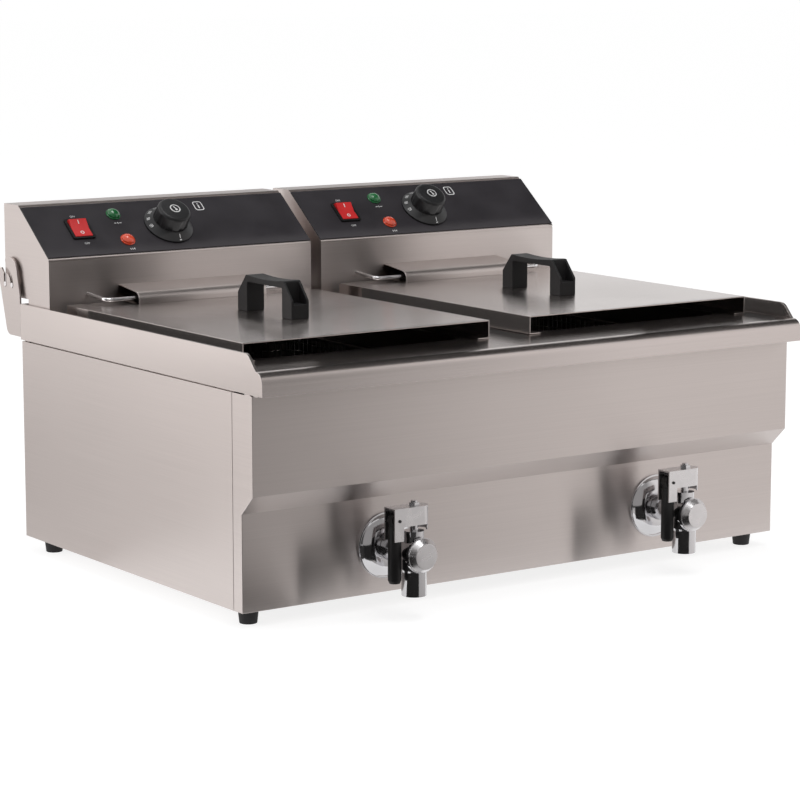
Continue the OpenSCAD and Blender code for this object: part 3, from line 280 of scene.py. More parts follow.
# %% [markdown]
# ## Brushed steel
# Across its lines the shine of brushed steel spreads, and along them it stays tight, which
# the shader's own anisotropy gives. The lines also move the roughness and the colour a
# little, and raise the surface by about a thousandth of a millimetre. A wide, soft noise
# adds the uneven shine of a sheet that has been handled. The deck and lids are finer ground
# than the panels, so they mirror more.

# %% Brushed steel
LINE_SCALE = 1100
LINE_DETAIL = 3
LINE_DEPTH = 0.0000012
LINE_RELIEF = 0.6
LINE_ROUGH = 0.015
LINE_DARK, LINE_LIGHT = 0.988, 1.01
CLOUD_SCALE = 4
CLOUD_ROUGH = 0.025
SPREAD_ACROSS = 0.88


def brushed_steel(name, colour, roughness):
    """Ground sheet steel."""
    material, tree, shader = start_finish(name, srgb(*colour), roughness, metallic=1.0)
    grain, across = along_the_grain(tree)
    noise = add_node(tree, "ShaderNodeTexNoise", Scale=LINE_SCALE, Detail=LINE_DETAIL)
    tree.links.new(grain, noise.inputs["Vector"])
    lines = noise.outputs["Fac"]
    cloud = pattern(tree, CLOUD_SCALE, detail=2)
    add = add_node(tree, "ShaderNodeMath", operation="ADD")
    tree.links.new(spread(tree, lines, -LINE_ROUGH, LINE_ROUGH), add.inputs[0])
    low, high = roughness - CLOUD_ROUGH, roughness + CLOUD_ROUGH
    tree.links.new(spread(tree, cloud, low, high), add.inputs[1])
    tree.links.new(add.outputs[0], shader.inputs["Roughness"])
    dark, light = shifted(colour, LINE_DARK), shifted(colour, LINE_LIGHT)
    tint(tree, shader, spread(tree, lines, 0, 1), dark, light)
    relief(tree, shader, lines, LINE_DEPTH, LINE_RELIEF)
    shader.inputs["Anisotropic"].default_value = SPREAD_ACROSS
    tree.links.new(across, shader.inputs["Tangent"])
    return material


STEEL = (200, 192, 189)
INNER_STEEL = (150, 146, 143)
steel_panel = brushed_steel("steel_panel", STEEL, 0.32)
steel_deck = brushed_steel("steel_deck", STEEL, 0.2)
steel_lid = brushed_steel("steel_lid", STEEL, 0.22)
steel_inner = brushed_steel("steel_inner", INNER_STEEL, 0.42)
print("steels:", [steel.name for steel in (steel_panel, steel_deck, steel_lid, steel_inner)])

# %% [markdown]
# ## Plated metals
# The taps and wires are plated, so they are almost mirrors. Plating copies the faint waves
# of the metal under it, and these waves break a reflection up a little. A noise of about a
# centimetre does that for the roughness and the relief at once.

# %% Plated metals
WAVE_SCALE = 90
WAVE_DEPTH = 0.00003
WAVE_RELIEF = 0.4
SMOOTHER, ROUGHER = 0.7, 1.5


def plated(name, colour, roughness):
    """Bright plating with a faint unevenness."""
    material, tree, shader = start_finish(name, srgb(*colour), roughness, metallic=1.0)
    waves = pattern(tree, WAVE_SCALE, detail=2)
    uneven = spread(tree, waves, roughness * SMOOTHER, roughness * ROUGHER)
    tree.links.new(uneven, shader.inputs["Roughness"])
    relief(tree, shader, waves, WAVE_DEPTH, WAVE_RELIEF)
    return material


chrome = plated("chrome", (210, 209, 211), 0.1)
satin_chrome = plated("satin_chrome", (216, 214, 215), 0.28)
wire_chrome = plated("wire_chrome", (222, 221, 222), 0.18)
print("platings:", [plating.name for plating in (chrome, satin_chrome, wire_chrome)])

# %% [markdown]
# ## The heating tube
# The tube that heats the oil is a nickel steel that has been glowing hot. Heat leaves it
# darker, browner and mottled, so one noise with much detail moves both its colour and its
# roughness.

# %% The heating tube
TUBE_STEEL = srgb(96, 90, 86)
TUBE_DARK, TUBE_LIGHT = srgb(62, 55, 52), srgb(128, 118, 112)
TUBE_SMOOTH, TUBE_MIDDLE, TUBE_ROUGH = 0.35, 0.45, 0.6
MOTTLE_SCALE = 60

tube_steel, tree, shader = start_finish("heated_tube", TUBE_STEEL, TUBE_MIDDLE, metallic=1.0)
mottle = pattern(tree, MOTTLE_SCALE, detail=5)
tint(tree, shader, mottle, TUBE_DARK, TUBE_LIGHT)
tree.links.new(spread(tree, mottle, TUBE_SMOOTH, TUBE_ROUGH), shader.inputs["Roughness"])
print("tube finish:", tube_steel.name)

# %% [markdown]
# ## Plastics, rubber and lenses
# Moulded plastic is never one flat tone: its surface has a fine spark-eroded grain that
# breaks up the shine, and hands polish it unevenly. A fine noise gives the grain, a wide
# one the wear. The control plate is a printed film with a smoother face, and the lamps'
# lenses are tinted and have a clear coat.

# %% Plastics
WEAR_SCALE = 30
COAT_ROUGH = 0.12
GRAIN_RELIEF = 0.5
WORN_SMOOTH, WORN_ROUGH = 0.06, 0.08
WORN_DARK, WORN_LIGHT, WORN_LIFT = 0.85, 1.12, 2


def moulded(name, colour, roughness, grain=1400, depth=0.00002, coat=0.0, gloss=0.5):
    """Moulded plastic or rubber with its fine grain and its wear."""
    material, tree, shader = start_finish(name, srgb(*colour), roughness)
    shader.inputs["Coat Weight"].default_value = coat
    shader.inputs["Coat Roughness"].default_value = COAT_ROUGH
    shader.inputs["Specular IOR Level"].default_value = gloss
    specks = pattern(tree, grain, detail=2)
    wear = pattern(tree, WEAR_SCALE, detail=3)
    worn = spread(tree, wear, roughness - WORN_SMOOTH, roughness + WORN_ROUGH)
    tree.links.new(worn, shader.inputs["Roughness"])
    dark, light = shifted(colour, WORN_DARK), shifted(colour, WORN_LIGHT, WORN_LIFT)
    tint(tree, shader, wear, dark, light)
    relief(tree, shader, specks, depth, GRAIN_RELIEF)
    return material


FILM_GRAIN, FILM_DEPTH = 2200, 0.000008
plate_film = moulded("plate_film", (41, 38, 42), 0.42, FILM_GRAIN, FILM_DEPTH, gloss=0.22)
switch_black = moulded("switch_black", (16, 17, 17), 0.35, gloss=0.3)
knob_black = moulded("knob_black", (20, 20, 22), 0.4, gloss=0.4)
handle_black = moulded("handle_black", (24, 23, 24), 0.55, gloss=0.35)
grip_black = moulded("grip_black", (20, 18, 19), 0.5)
rubber = moulded("rubber", (30, 29, 30), 0.7, grain=900)
rocker_red = moulded("rocker_red", (192, 30, 32), 0.35, grain=1500, depth=0.00004, gloss=0.3)
lens_green = moulded("lens_green", (6, 92, 44), 0.2, coat=0.6)
lens_orange = moulded("lens_orange", (196, 58, 20), 0.2, coat=0.6)
print_white = moulded("print_white", (206, 206, 206), 0.6)
print("finishes so far:", len(bpy.data.materials))

# %% [markdown]
# ## Finish and body
# Every finished piece gets one material, and it rides on the body that carries it, so that
# it moves when a head, a lid, a knob or a lever moves. Operators act on all that is
# selected, so one helper leaves just one piece selected.

# %% Select and settle
def only(piece):
    """Selects one object and nothing else."""
    bpy.ops.object.select_all(action="DESELECT")
    piece.select_set(True)
    bpy.context.view_layer.objects.active = piece


def settle(piece, node_or_body, material):
    """Gives a finished piece its material and the body that carries it."""
    piece.data.materials.clear()
    piece.data.materials.append(material)
    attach(piece, body_of.get(node_or_body, node_or_body))
    return piece


print("bodies that carry pieces:", len(set(body_of.values())))

# %% [markdown]
# ## Dressing a piece of the frame
# The frame's solids have knife-sharp edges. A real fold or moulding has a small round, and
# that round is what catches the light. So each piece is copied, its triangles are merged
# back into flat faces, and its sharp edges get a bevel of a real size. Weighted normals
# then keep the wide faces flat to the light, so that only the rounds shade. The copy stands
# for the piece of the frame and moves with it.

# %% Dress one piece
MERGE_WITHIN = 0.00001
SAME_PLANE = math.radians(0.5)
SHARP_EDGE = math.radians(32)
SMOOTH_BELOW = math.radians(40)
ROUND_STEPS = 2
WIDE_FACE_WEIGHT = 100


def dress(node, material, round_mm):
    """Copies a node, rounds its sharp edges and lets the copy stand for it."""
    piece = bpy.data.objects.new(node + "_dressed", frame["nodes"][node].data.copy())
    bpy.context.scene.collection.objects.link(piece)
    only(piece)
    bpy.ops.object.mode_set(mode="EDIT")
    bpy.ops.mesh.select_all(action="SELECT")
    bpy.ops.mesh.remove_doubles(threshold=MERGE_WITHIN)
    bpy.ops.mesh.dissolve_limited(angle_limit=SAME_PLANE)
    bpy.ops.object.mode_set(mode="OBJECT")
    if round_mm:
        bevel = piece.modifiers.new("round", "BEVEL")
        bevel.width = round_mm * MM
        bevel.segments = ROUND_STEPS
        bevel.limit_method = "ANGLE"
        bevel.angle_limit = SHARP_EDGE
        bpy.ops.object.modifier_apply(modifier="round")
    bpy.ops.object.shade_smooth_by_angle(angle=SMOOTH_BELOW)
    flat = piece.modifiers.new("flat", "WEIGHTED_NORMAL")
    flat.weight = WIDE_FACE_WEIGHT
    flat.keep_sharp = True
    bpy.ops.object.modifier_apply(modifier="flat")
    settle(piece, node, material)
    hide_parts(node)
    return piece


print("edges sharper than", round(math.degrees(SHARP_EDGE)), "degrees get a round")

# %% [markdown]
# ## What each piece wears
# A table names the finish and the round, in millimetres, of every piece of the frame.
# Folded sheet has rounds of about half a millimetre, and moulded handles have more. Wires,
# tubes and the pressed tanks are round already, and the base plate and thermostats are
# hidden, so they get none. What stands once on each side is written once.

# %% The wardrobe
WARDROBE = {
    "base_plate": (steel_inner, 0),
    "side_panel_left": (steel_panel, 0.4),
    "side_panel_right": (steel_panel, 0.4),
    "front_panel": (steel_panel, 0.5),
    "rear_panel": (steel_panel, 0.4),
    "deck": (steel_deck, 0.4),
    "head_brackets": (steel_panel, 0.3),
    "body_screws": (satin_chrome, 0.2),
    "foot_front_left": (rubber, 0.5),
    "foot_front_right": (rubber, 0.5),
    "foot_rear_left": (rubber, 0.5),
    "foot_rear_right": (rubber, 0.5),
}
WARDROBE_BY_SIDE = {
    "tank": (steel_inner, 0),
    "tap_rosette": (chrome, 0.3),
    "tap_body": (chrome, 0.5),
    "tap_cap": (satin_chrome, 0.4),
    "tap_lever": (satin_chrome, 0.3),
    "tap_stem": (chrome, 0.2),
    "tap_grip": (grip_black, 0.5),
    "head_casing": (steel_panel, 0.45),
    "head_back": (steel_panel, 0.3),
    "control_plate": (plate_film, 0.2),
    "switch_frame": (switch_black, 0.4),
    "rocker": (rocker_red, 0.4),
    "power_lamp": (lens_green, 0.3),
    "heat_lamp": (lens_orange, 0.3),
    "knob": (knob_black, 0.5),
    "thermostat": (steel_inner, 0),
    "heating_element": (tube_steel, 0),
    "element_cover": (steel_panel, 0.4),
    "basket_rest": (wire_chrome, 0),
    "cable_bush": (grip_black, 0.4),
    "lid": (steel_lid, 0.45),
    "lid_handle": (handle_black, 0.7),
    "pivot_pins": (satin_chrome, 0.3),
}
for base, finish in WARDROBE_BY_SIDE.items():
    WARDROBE.update({f"{base}_{side}": finish for side in SIDES})
pieces_of = {node: dress(node, *finish) for node, finish in WARDROBE.items()}
print("dressed pieces:", len(pieces_of))

# %% [markdown]
# ## Tools for the wire baskets
# A frying basket is woven wire round a stiff rim. Weaving each wire would take thousands of
# turns, so a box is cut into cells of the mesh's size, and later every edge of the cells
# becomes a wire. Two helpers do the handwork: one selects edges or faces by a test, the
# other cuts the box into cells.

# %% Select and cut
MESH_CELL = 0.008


def select_where(piece, kind, wanted):
    """In edit mode, selects only those edges or faces of a piece that pass a test."""
    bpy.ops.mesh.select_all(action="DESELECT")
    bpy.ops.mesh.select_mode(type=kind)
    bpy.ops.object.mode_set(mode="OBJECT")
    for part in piece.data.edges if kind == "EDGE" else piece.data.polygons:
        part.select = wanted(part)
    bpy.ops.object.mode_set(mode="EDIT")


def cut_cells(axis, start, end):
    """In edit mode, cuts everything across one axis into cells of the mesh's size."""
    cells = round((end - start) / MESH_CELL)
    normal = [int(i == axis) for i in range(3)]
    for i in range(1, cells):
        place = [0, 0, 0]
        place[axis] = start + (end - start) * i / cells
        bpy.ops.mesh.select_all(action="SELECT")
        bpy.ops.mesh.bisect(plane_co=place, plane_no=normal)


print("mesh cell in mm:", MESH_CELL / MM)

# %% [markdown]
# ## The baskets' mesh
# The box starts as a cube of the basket's size. Its four upright edges are bevelled into
# round corners, its top is taken off, and it is cut into cells. The Wireframe modifier then
# turns each edge into a thin wire, which is how a woven wall looks from a step away.

# %% Weave the baskets
MESH_WIRE = 0.0015
RIM_WIRE = 0.005
BASKET_CORNER = 0.015
BASKET_CORNER_STEPS = 3
FACES_UP = 0.9


def basket(side):
    """A wire basket of the frame's size, open at the top."""
    node = "basket_" + side
    low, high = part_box(node)
    size = high - low - Vector((RIM_WIRE, RIM_WIRE, RIM_WIRE / 2))
    middle = ((low.x + high.x) / 2, (low.y + high.y) / 2, low.z + size.z / 2)
    bpy.ops.object.select_all(action="DESELECT")
    bpy.ops.mesh.primitive_cube_add(size=1, location=middle, scale=size)
    mesh_box = bpy.context.object
    mesh_box.name = node + "_mesh"
    bpy.ops.object.transform_apply(location=True, rotation=True, scale=True)

    def is_upright(edge):
        lower, upper = (mesh_box.data.vertices[i].co.z for i in edge.vertices)
        return abs(lower - upper) > size.z / 2

    bpy.ops.object.mode_set(mode="EDIT")
    select_where(mesh_box, "EDGE", is_upright)
    bpy.ops.mesh.bevel(offset=BASKET_CORNER, segments=BASKET_CORNER_STEPS)
    select_where(mesh_box, "FACE", lambda face: face.normal.z > FACES_UP)
    bpy.ops.mesh.delete(type="FACE")
    cut_cells(0, low.x, high.x)
    cut_cells(1, low.y, high.y)
    cut_cells(2, low.z, low.z + size.z)
    bpy.ops.object.mode_set(mode="OBJECT")
    wire = mesh_box.modifiers.new("wire", "WIREFRAME")
    wire.thickness = MESH_WIRE
    wire.use_even_offset = False
    bpy.ops.object.modifier_apply(modifier="wire")
    settle(mesh_box, node, wire_chrome)
    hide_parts(node)
    print(node, "wires' faces:", len(mesh_box.data.polygons))


for side in SIDES:
    basket(side)

# %% [markdown]
# ## The baskets' rims
# The mesh hangs on a wire of 5 mm round the basket's mouth. A plane's corners are bevelled,
# its face is taken away, and the outline that is left becomes a curve with a round section.

# %% Bend the rims
RIM_CORNER_STEPS = 6
RIM_ROUNDNESS = 3


def basket_rim(side):
    """The stiff wire round a basket's mouth."""
    node = "basket_" + side
    low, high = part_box(node)
    middle = ((low.x + high.x) / 2, (low.y + high.y) / 2, high.z - RIM_WIRE / 2)
    bpy.ops.object.select_all(action="DESELECT")
    bpy.ops.mesh.primitive_plane_add(size=1, location=middle)
    rim = bpy.context.object
    rim.name = node + "_rim"
    rim.scale = (high.x - low.x - RIM_WIRE, high.y - low.y - RIM_WIRE, 1)
    bpy.ops.object.transform_apply(location=True, rotation=True, scale=True)
    bpy.ops.object.mode_set(mode="EDIT")
    bpy.ops.mesh.select_all(action="SELECT")
    bpy.ops.mesh.bevel(offset=BASKET_CORNER, segments=RIM_CORNER_STEPS, affect="VERTICES")
    bpy.ops.mesh.delete(type="ONLY_FACE")
    bpy.ops.object.mode_set(mode="OBJECT")
    bpy.ops.object.convert(target="CURVE")
    rim.data.bevel_depth = RIM_WIRE / 2
    rim.data.bevel_resolution = RIM_ROUNDNESS
    bpy.ops.object.convert(target="MESH")
    bpy.ops.object.shade_smooth()
    return settle(bpy.context.object, node, wire_chrome)


print("rims' faces:", [len(basket_rim(side).data.polygons) for side in SIDES])

# %% [markdown]
# ## Where marks go
# The marks are printed: a thin white film that stands a few hundredths of a millimetre
# proud. Each one is drawn flat and held over its control, every point of it is dropped onto
# the surface below, and Solidify gives it its thickness. The knob's joint gives the
# direction in which a control plate looks.

# %% Hold a drawing over a control and press it on
slope_out = Vector(joints["knob_turn_left"]["axis"]).normalized()
slope_right = Vector((1, 0, 0))
slope_up = slope_out.cross(slope_right).normalized()
PRINT_LIFT = 0.00002
PRINT_THICK = 0.00004
HOLD_ABOVE = 0.03


def above(origin, right_mm=0.0, up_mm=0.0, turn=0.0):
    """A place over a point of the slope, moved along it, that looks out of it."""
    matrix = Matrix((slope_right, slope_up, slope_out)).transposed().to_4x4()
    along = (slope_right * right_mm + slope_up * up_mm) * MM
    matrix.translation = origin + along + slope_out * HOLD_ABOVE
    return matrix @ Matrix.Rotation(turn, 4, "Z")


def press_on(drawing, place, target, carrier):
    """Presses a flat drawing onto a piece, as a printed film, and lets it ride on a body."""
    drawing.matrix_world = place
    only(drawing)
    bpy.ops.object.transform_apply(location=True, rotation=True, scale=True)
    for vertex in drawing.data.vertices:
        hit, spot, normal, _ = target.ray_cast(vertex.co, -slope_out, distance=2 * HOLD_ABOVE)
        if hit:
            vertex.co = spot + normal * PRINT_LIFT
    film = drawing.modifiers.new("film", "SOLIDIFY")
    film.thickness = PRINT_THICK
    film.offset = 1
    bpy.ops.object.modifier_apply(modifier="film")
    settle(drawing, carrier, print_white)


print("the plates lean back by", round(math.degrees(math.asin(slope_out.z))), "degrees")

# %% [markdown]
# ## Drawing letters
# Three kinds of drawing are enough: letters, straight bars, and an outline with rounded
# corners. Each is a flat mesh round the origin, sized in millimetres, so that it can be
# held over any control. Letters come from a text object in Blender's own plain font, made a
# mesh.

# %% Letters
FONT_SIZE_PER_CAPITAL = 1.38


def lettering(text, height_mm):
    """Letters or numbers, with capitals of a height in millimetres."""
    bpy.ops.object.select_all(action="DESELECT")
    bpy.ops.object.text_add()
    words = bpy.context.object
    words.data.body = text
    words.data.size = height_mm * MM * FONT_SIZE_PER_CAPITAL
    words.data.align_x = "CENTER"
    words.data.align_y = "CENTER"
    bpy.ops.object.convert(target="MESH")
    return bpy.context.object


print("a text's size for capitals of 3 mm:", round(3 * FONT_SIZE_PER_CAPITAL, 2), "mm")

# %% [markdown]
# ## Drawing bars
# The small signs are made of straight bars. Each bar is a grid with a few points along it,
# so that it can follow a curved surface when it is pressed on, and the bars of one sign are
# joined.

# %% Bars
ACROSS_BAR, ALONG_BAR = 2, 4


def strokes(bars):
    """Straight bars, each by its middle, width and height."""
    pieces = []
    for x, y, width, height in bars:
        bpy.ops.object.select_all(action="DESELECT")
        bpy.ops.mesh.primitive_grid_add(
            x_subdivisions=ACROSS_BAR,
            y_subdivisions=ALONG_BAR,
            size=MM,
            location=(x * MM, y * MM, 0),
        )
        bar = bpy.context.object
        bar.scale = (width, height, 1)
        bpy.ops.object.transform_apply(location=True, rotation=True, scale=True)
        pieces.append(bar)
    for piece in pieces:
        piece.select_set(True)
    bpy.ops.object.join()
    return bpy.context.object


print("points of a bar:", (ACROSS_BAR + 1) * (ALONG_BAR + 1))

# %% [markdown]
# ## Drawing outlines
# A plane with bevelled corners is inset, and its middle is deleted, which leaves a printed
# line of even width. It becomes a ring when its corners meet.

# %% Outlines
CORNER_STEPS = 8
CORNERS_MEET = 0.000005


def outline(width_mm, height_mm, corner_mm, line_mm):
    """The outline of a rectangle with rounded corners, or a ring where the corners meet."""
    bpy.ops.object.select_all(action="DESELECT")
    bpy.ops.mesh.primitive_plane_add(size=MM)
    mark = bpy.context.object
    mark.scale = (width_mm, height_mm, 1)
    bpy.ops.object.transform_apply(location=True, rotation=True, scale=True)
    bpy.ops.object.mode_set(mode="EDIT")
    bpy.ops.mesh.select_all(action="SELECT")
    bpy.ops.mesh.bevel(offset=corner_mm * MM, segments=CORNER_STEPS, affect="VERTICES")
    bpy.ops.mesh.remove_doubles(threshold=CORNERS_MEET)
    bpy.ops.mesh.select_all(action="SELECT")
    bpy.ops.mesh.inset(thickness=line_mm * MM)
    bpy.ops.mesh.delete(type="FACE")
    bpy.ops.object.mode_set(mode="OBJECT")
    return mark


print("points of an outline's corner:", CORNER_STEPS + 1)

# %% [markdown]
# ## Marks on the control plates
# Each plate says ON and OFF at its switch, has a small sign under each lamp and a frame
# with a sign beside the knob. Places are millimetres to the right and up from the plate's
# lower left corner. The names of the pieces tell what each mark is.

# %% Print the plates' marks
PLATE_LIP = 2.2
PLATE_LETTER = 2.6
PLATE_TEXTS = (("ON", 51.6, 59.3), ("OFF", 51.6, 19.6))
PLATE_SIGNS = (
    ("power", 98.5, 46.2, ((-3, 0, 2.4, 0.8), (0, 0, 0.8, 2.4), (3, 0, 2.4, 0.8))),
    ("heat", 98.5, 7.6, ((-2.2, 0, 0.8, 2.4), (0, 0, 0.8, 2.4), (2.2, 0, 0.8, 2.4))),
)
INFO_AT = (202.5, 64.2)
INFO_FRAME = (10.8, 13.2, 3, 1.0)
INFO_SIGN = ((0, -1.1, 1.3, 5), (0, 3.0, 1.3, 1.3))


def print_all(side, marks, target, body=None):
    """Names the marks of one control and presses them on."""
    node = f"{target}_{side}"
    for title, drawing, place in marks:
        drawing.name = f"mark_{title}_{side}"
        press_on(drawing, place, pieces_of[node], body or node)
    print(node, "marks:", len(marks))


for side in SIDES:
    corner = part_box("control_plate_" + side)[0] - slope_up * PLATE_LIP * MM
    marks = []
    for text, right_mm, up_mm in PLATE_TEXTS:
        marks.append((text, lettering(text, PLATE_LETTER), above(corner, right_mm, up_mm)))
    for title, right_mm, up_mm, bars in PLATE_SIGNS:
        marks.append((title, strokes(bars), above(corner, right_mm, up_mm)))
    marks.append(("info_frame", outline(*INFO_FRAME), above(corner, *INFO_AT)))
    marks.append(("info", strokes(INFO_SIGN), above(corner, *INFO_AT)))
    print_all(side, marks, "control_plate", body="head_" + side)

# %% [markdown]
# ## Marks on the knobs and switches
# The dial's numbers are temperatures. They stand round the knob's skirt, each turned so
# that its foot points to the middle, and a pointer marks where the knob is off. The switch
# carries the bar and ring that are on every rocker. All these marks ride on the knob or the
# rocker, so they turn with it.

# %% Print the knobs' and rockers' marks
DIAL = {188: "60", 161: "80", 134: "100", 107: "120", 80: "140", 53: "160", 26: "180"}
DIAL_RADIUS = 22.6
DIAL_LETTER = 3.0
POINTER_ANGLE = -84
POINTER = ((0, -1.0, 1.0, 3.6), (0, 2.2, 2.4, 1.0))
KNOB_RING = (11.4, 11.4, 5.69, 1.1)
KNOB_SIGN = ((0, 0.8, 1.2, 4.6), (0, -2.2, 2.4, 2.0))
KNOB_SIGN_TURN = 0.35
ROCKER_BAR, ROCKER_BAR_UP = ((0, 0, 0.9, 4.2),), 6.6
ROCKER_RING, ROCKER_RING_UP = (4.2, 4.2, 2.09, 0.8), -6.4


def on_dial(middle, angle):
    """A place on the knob's skirt, at an angle round its middle."""
    turn = math.radians(angle)
    right_mm, up_mm = DIAL_RADIUS * math.cos(turn), DIAL_RADIUS * math.sin(turn)
    return above(middle, right_mm, up_mm, turn - math.pi / 2)


for side in SIDES:
    middle = Vector(joints["knob_turn_" + side]["pos_m"])
    marks = [
        ("knob_ring", outline(*KNOB_RING), above(middle)),
        ("knob_sign", strokes(KNOB_SIGN), above(middle, turn=KNOB_SIGN_TURN)),
        ("dial_off", strokes(POINTER), on_dial(middle, POINTER_ANGLE)),
    ]
    for angle, number in DIAL.items():
        marks.append(("dial_" + number, lettering(number, DIAL_LETTER), on_dial(middle, angle)))
    print_all(side, marks, "knob")
    middle = Vector(joints["rocker_tilt_" + side]["pos_m"])
    marks = [
        ("rocker_on", strokes(ROCKER_BAR), above(middle, 0, ROCKER_BAR_UP)),
        ("rocker_off", outline(*ROCKER_RING), above(middle, 0, ROCKER_RING_UP)),
    ]
    print_all(side, marks, "rocker")

# %% [markdown]
# ## A white studio
# The fryer stands in a white studio. Both the floor and the surround look white where the
# eye, a reflection or a lens meets them, and light the fryer only softly, so that its own
# colours hold. The Light Path node tells the two cases apart.

# %% What is seen and what lights
WHITE = (1, 1, 1, 1)


def seen(tree):
    """One where a ray comes from the camera, a reflection or a lens, and zero where it lights."""
    rays = add_node(tree, "ShaderNodeLightPath")
    total = rays.outputs["Is Camera Ray"]
    for name in ("Is Glossy Ray", "Is Transmission Ray"):
        either = add_node(tree, "ShaderNodeMath", operation="MAXIMUM")
        tree.links.new(total, either.inputs[0])
        tree.links.new(rays.outputs[name], either.inputs[1])
        total = either.outputs[0]
    return total


def show_surface(tree, shader):
    """Makes a shader the material's surface."""
    output = next(node for node in tree.nodes if node.type == "OUTPUT_MATERIAL")
    tree.links.new(shader.outputs[0], output.inputs["Surface"])


print("the studio's white:", WHITE[:3])

# %% [markdown]
# ## The floor
# The floor is a wide plane. Its grey takes the fryer's shadow, and a glow that only the eye
# and reflections see lifts it to white. It belongs to the stage, so it is marked as backdrop
# and left out of the fryer's box.

# %% The floor
FLOOR_SIZE = 40
FLOOR_GREY = (0.35, 0.35, 0.35, 1)
FLOOR_ROUGH = 0.9
FLOOR_GLOW = 0.78

bpy.ops.object.select_all(action="DESELECT")
bpy.ops.mesh.primitive_plane_add(size=FLOOR_SIZE, location=(0, 0, 0))
floor = bpy.context.object
floor.name = "studio_floor"
material, tree, shader = start_finish("studio_floor", FLOOR_GREY, FLOOR_ROUGH)
shader.inputs["Specular IOR Level"].default_value = 0
glow = add_node(tree, "ShaderNodeEmission", Color=WHITE)
tree.links.new(spread(tree, seen(tree), 0, FLOOR_GLOW, 0, 1), glow.inputs["Strength"])
both = add_node(tree, "ShaderNodeAddShader")
tree.links.new(shader.outputs[0], both.inputs[0])
tree.links.new(glow.outputs[0], both.inputs[1])
show_surface(tree, both)
floor.data.materials.append(material)
floor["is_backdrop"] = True
print("floor in m:", FLOOR_SIZE)

# %% [markdown]
# ## The surround
# The world gives an even light from everywhere, as a white tent does. What the eye and
# reflections see of it is a full white, and what it lights with is weaker.

# %% The surround
SURROUND_SEEN = 1.0
SURROUND_LIT = 0.62

world = bpy.data.worlds.new("studio")
bpy.context.scene.world = world
world.use_nodes = True
tree = world.node_tree
sky = tree.nodes["Background"]
sky.inputs["Color"].default_value = WHITE
strength = spread(tree, seen(tree), SURROUND_LIT, SURROUND_SEEN, 0, 1)
tree.links.new(strength, sky.inputs["Strength"])
print("surround:", world.name)

# %% [markdown]
# ## Lamps
# Two wide, soft lamps light the fryer from the left and from above. They are weak, because
# the surround already lights it from everywhere: they only model its forms and give the
# floor a shadow.

# %% Lamps
LIGHT_AIM = Vector((0, 0, 0.15))


def lamp(name, place, width, watts):
    """A square, soft lamp that looks at the fryer."""
    turn = (LIGHT_AIM - Vector(place)).to_track_quat("-Z", "Y").to_euler()
    bpy.ops.object.light_add(type="AREA", location=place, rotation=turn)
    light = bpy.context.object
    light.name = name
    light.data.shape = "SQUARE"
    light.data.size = width
    light.data.energy = watts
    print(name, "stands", round((LIGHT_AIM - Vector(place)).length, 1), "m away")


lamp("lamp_left", (-2.6, 0.6, 1.5), 1.8, 18)
lamp("lamp_top", (0.1, -0.3, 2.4), 1.2, 22)

# %% [markdown]
# ## Cards for the reflections
# Brushed steel is a blurred mirror: it looks like what stands round it, so in an all-white
# room it would turn out flat. Studios give it shape with cards. Pale ones lift a face, and
# black ones, called flags, draw its dark fields and edges. A card is a plane, placed here
# by two opposite corners.

# %% The shape of a card
UPRIGHT = math.pi / 2


def card_shape(name, low, high):
    """A rectangle between two opposite corners: it lies where their heights are the same."""
    start, end = Vector(low), Vector(high)
    reach = end - start
    lies = reach.z == 0
    width = reach.x if lies else reach.xy.length
    turn = (0, 0, 0) if lies else (UPRIGHT, 0, math.atan2(reach.y, reach.x))
    bpy.ops.object.select_all(action="DESELECT")
    bpy.ops.mesh.primitive_plane_add(size=1, location=(start + end) / 2, rotation=turn)
    card = bpy.context.object
    card.name = name
    card.scale = (width, reach.y if lies else reach.z, 1)
    bpy.ops.object.transform_apply(location=True, rotation=True, scale=True)
    return card


print("a standing card is tipped up by", round(math.degrees(UPRIGHT)), "degrees")

# %% [markdown]
# ## The tone of a card
# The cards show in reflections only: they are not seen, they light nothing and they cast no
# shadow. A card's tone is the strength of its glow. Where a face runs from dark to light,
# the tone fades between two places along an axis.

# %% One card
CARD_WHITE = (1.0, 0.97, 0.955, 1)


def flag(name, low, high, tone, far_tone=None, fade=None, axis="X"):
    """A card that only reflections show, with its tone, or with a tone that fades."""
    card = card_shape(name, low, high)
    material = bpy.data.materials.new(name)
    material.use_nodes = True
    tree = material.node_tree
    tree.nodes.remove(tree.nodes["Principled BSDF"])
    glow = add_node(tree, "ShaderNodeEmission", Color=CARD_WHITE, Strength=tone)
    if fade:
        place = add_node(tree, "ShaderNodeTexCoord")
        parts = add_node(tree, "ShaderNodeSeparateXYZ")
        tree.links.new(place.outputs["Object"], parts.inputs[0])
        fading = spread(tree, parts.outputs[axis], tone, far_tone, *fade)
        tree.links.new(fading, glow.inputs["Strength"])
    show_surface(tree, glow)
    card.data.materials.append(material)
    for kind in ("camera", "diffuse", "shadow", "transmission"):
        setattr(card, "visible_" + kind, False)
    card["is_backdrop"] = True


print("a card's white:", CARD_WHITE[:3])

# %% [markdown]
# ## Cards round the room
# The front panel and the side panel each mirror one wide card that fades, because both
# faces run from dark to light. A card behind the fryer does the same for the sloping lids.
# The black cards behind the camera, overhead and on the floor stand for the dark parts of a
# room: without them the deck, the lids and the lower panels would have no depth.

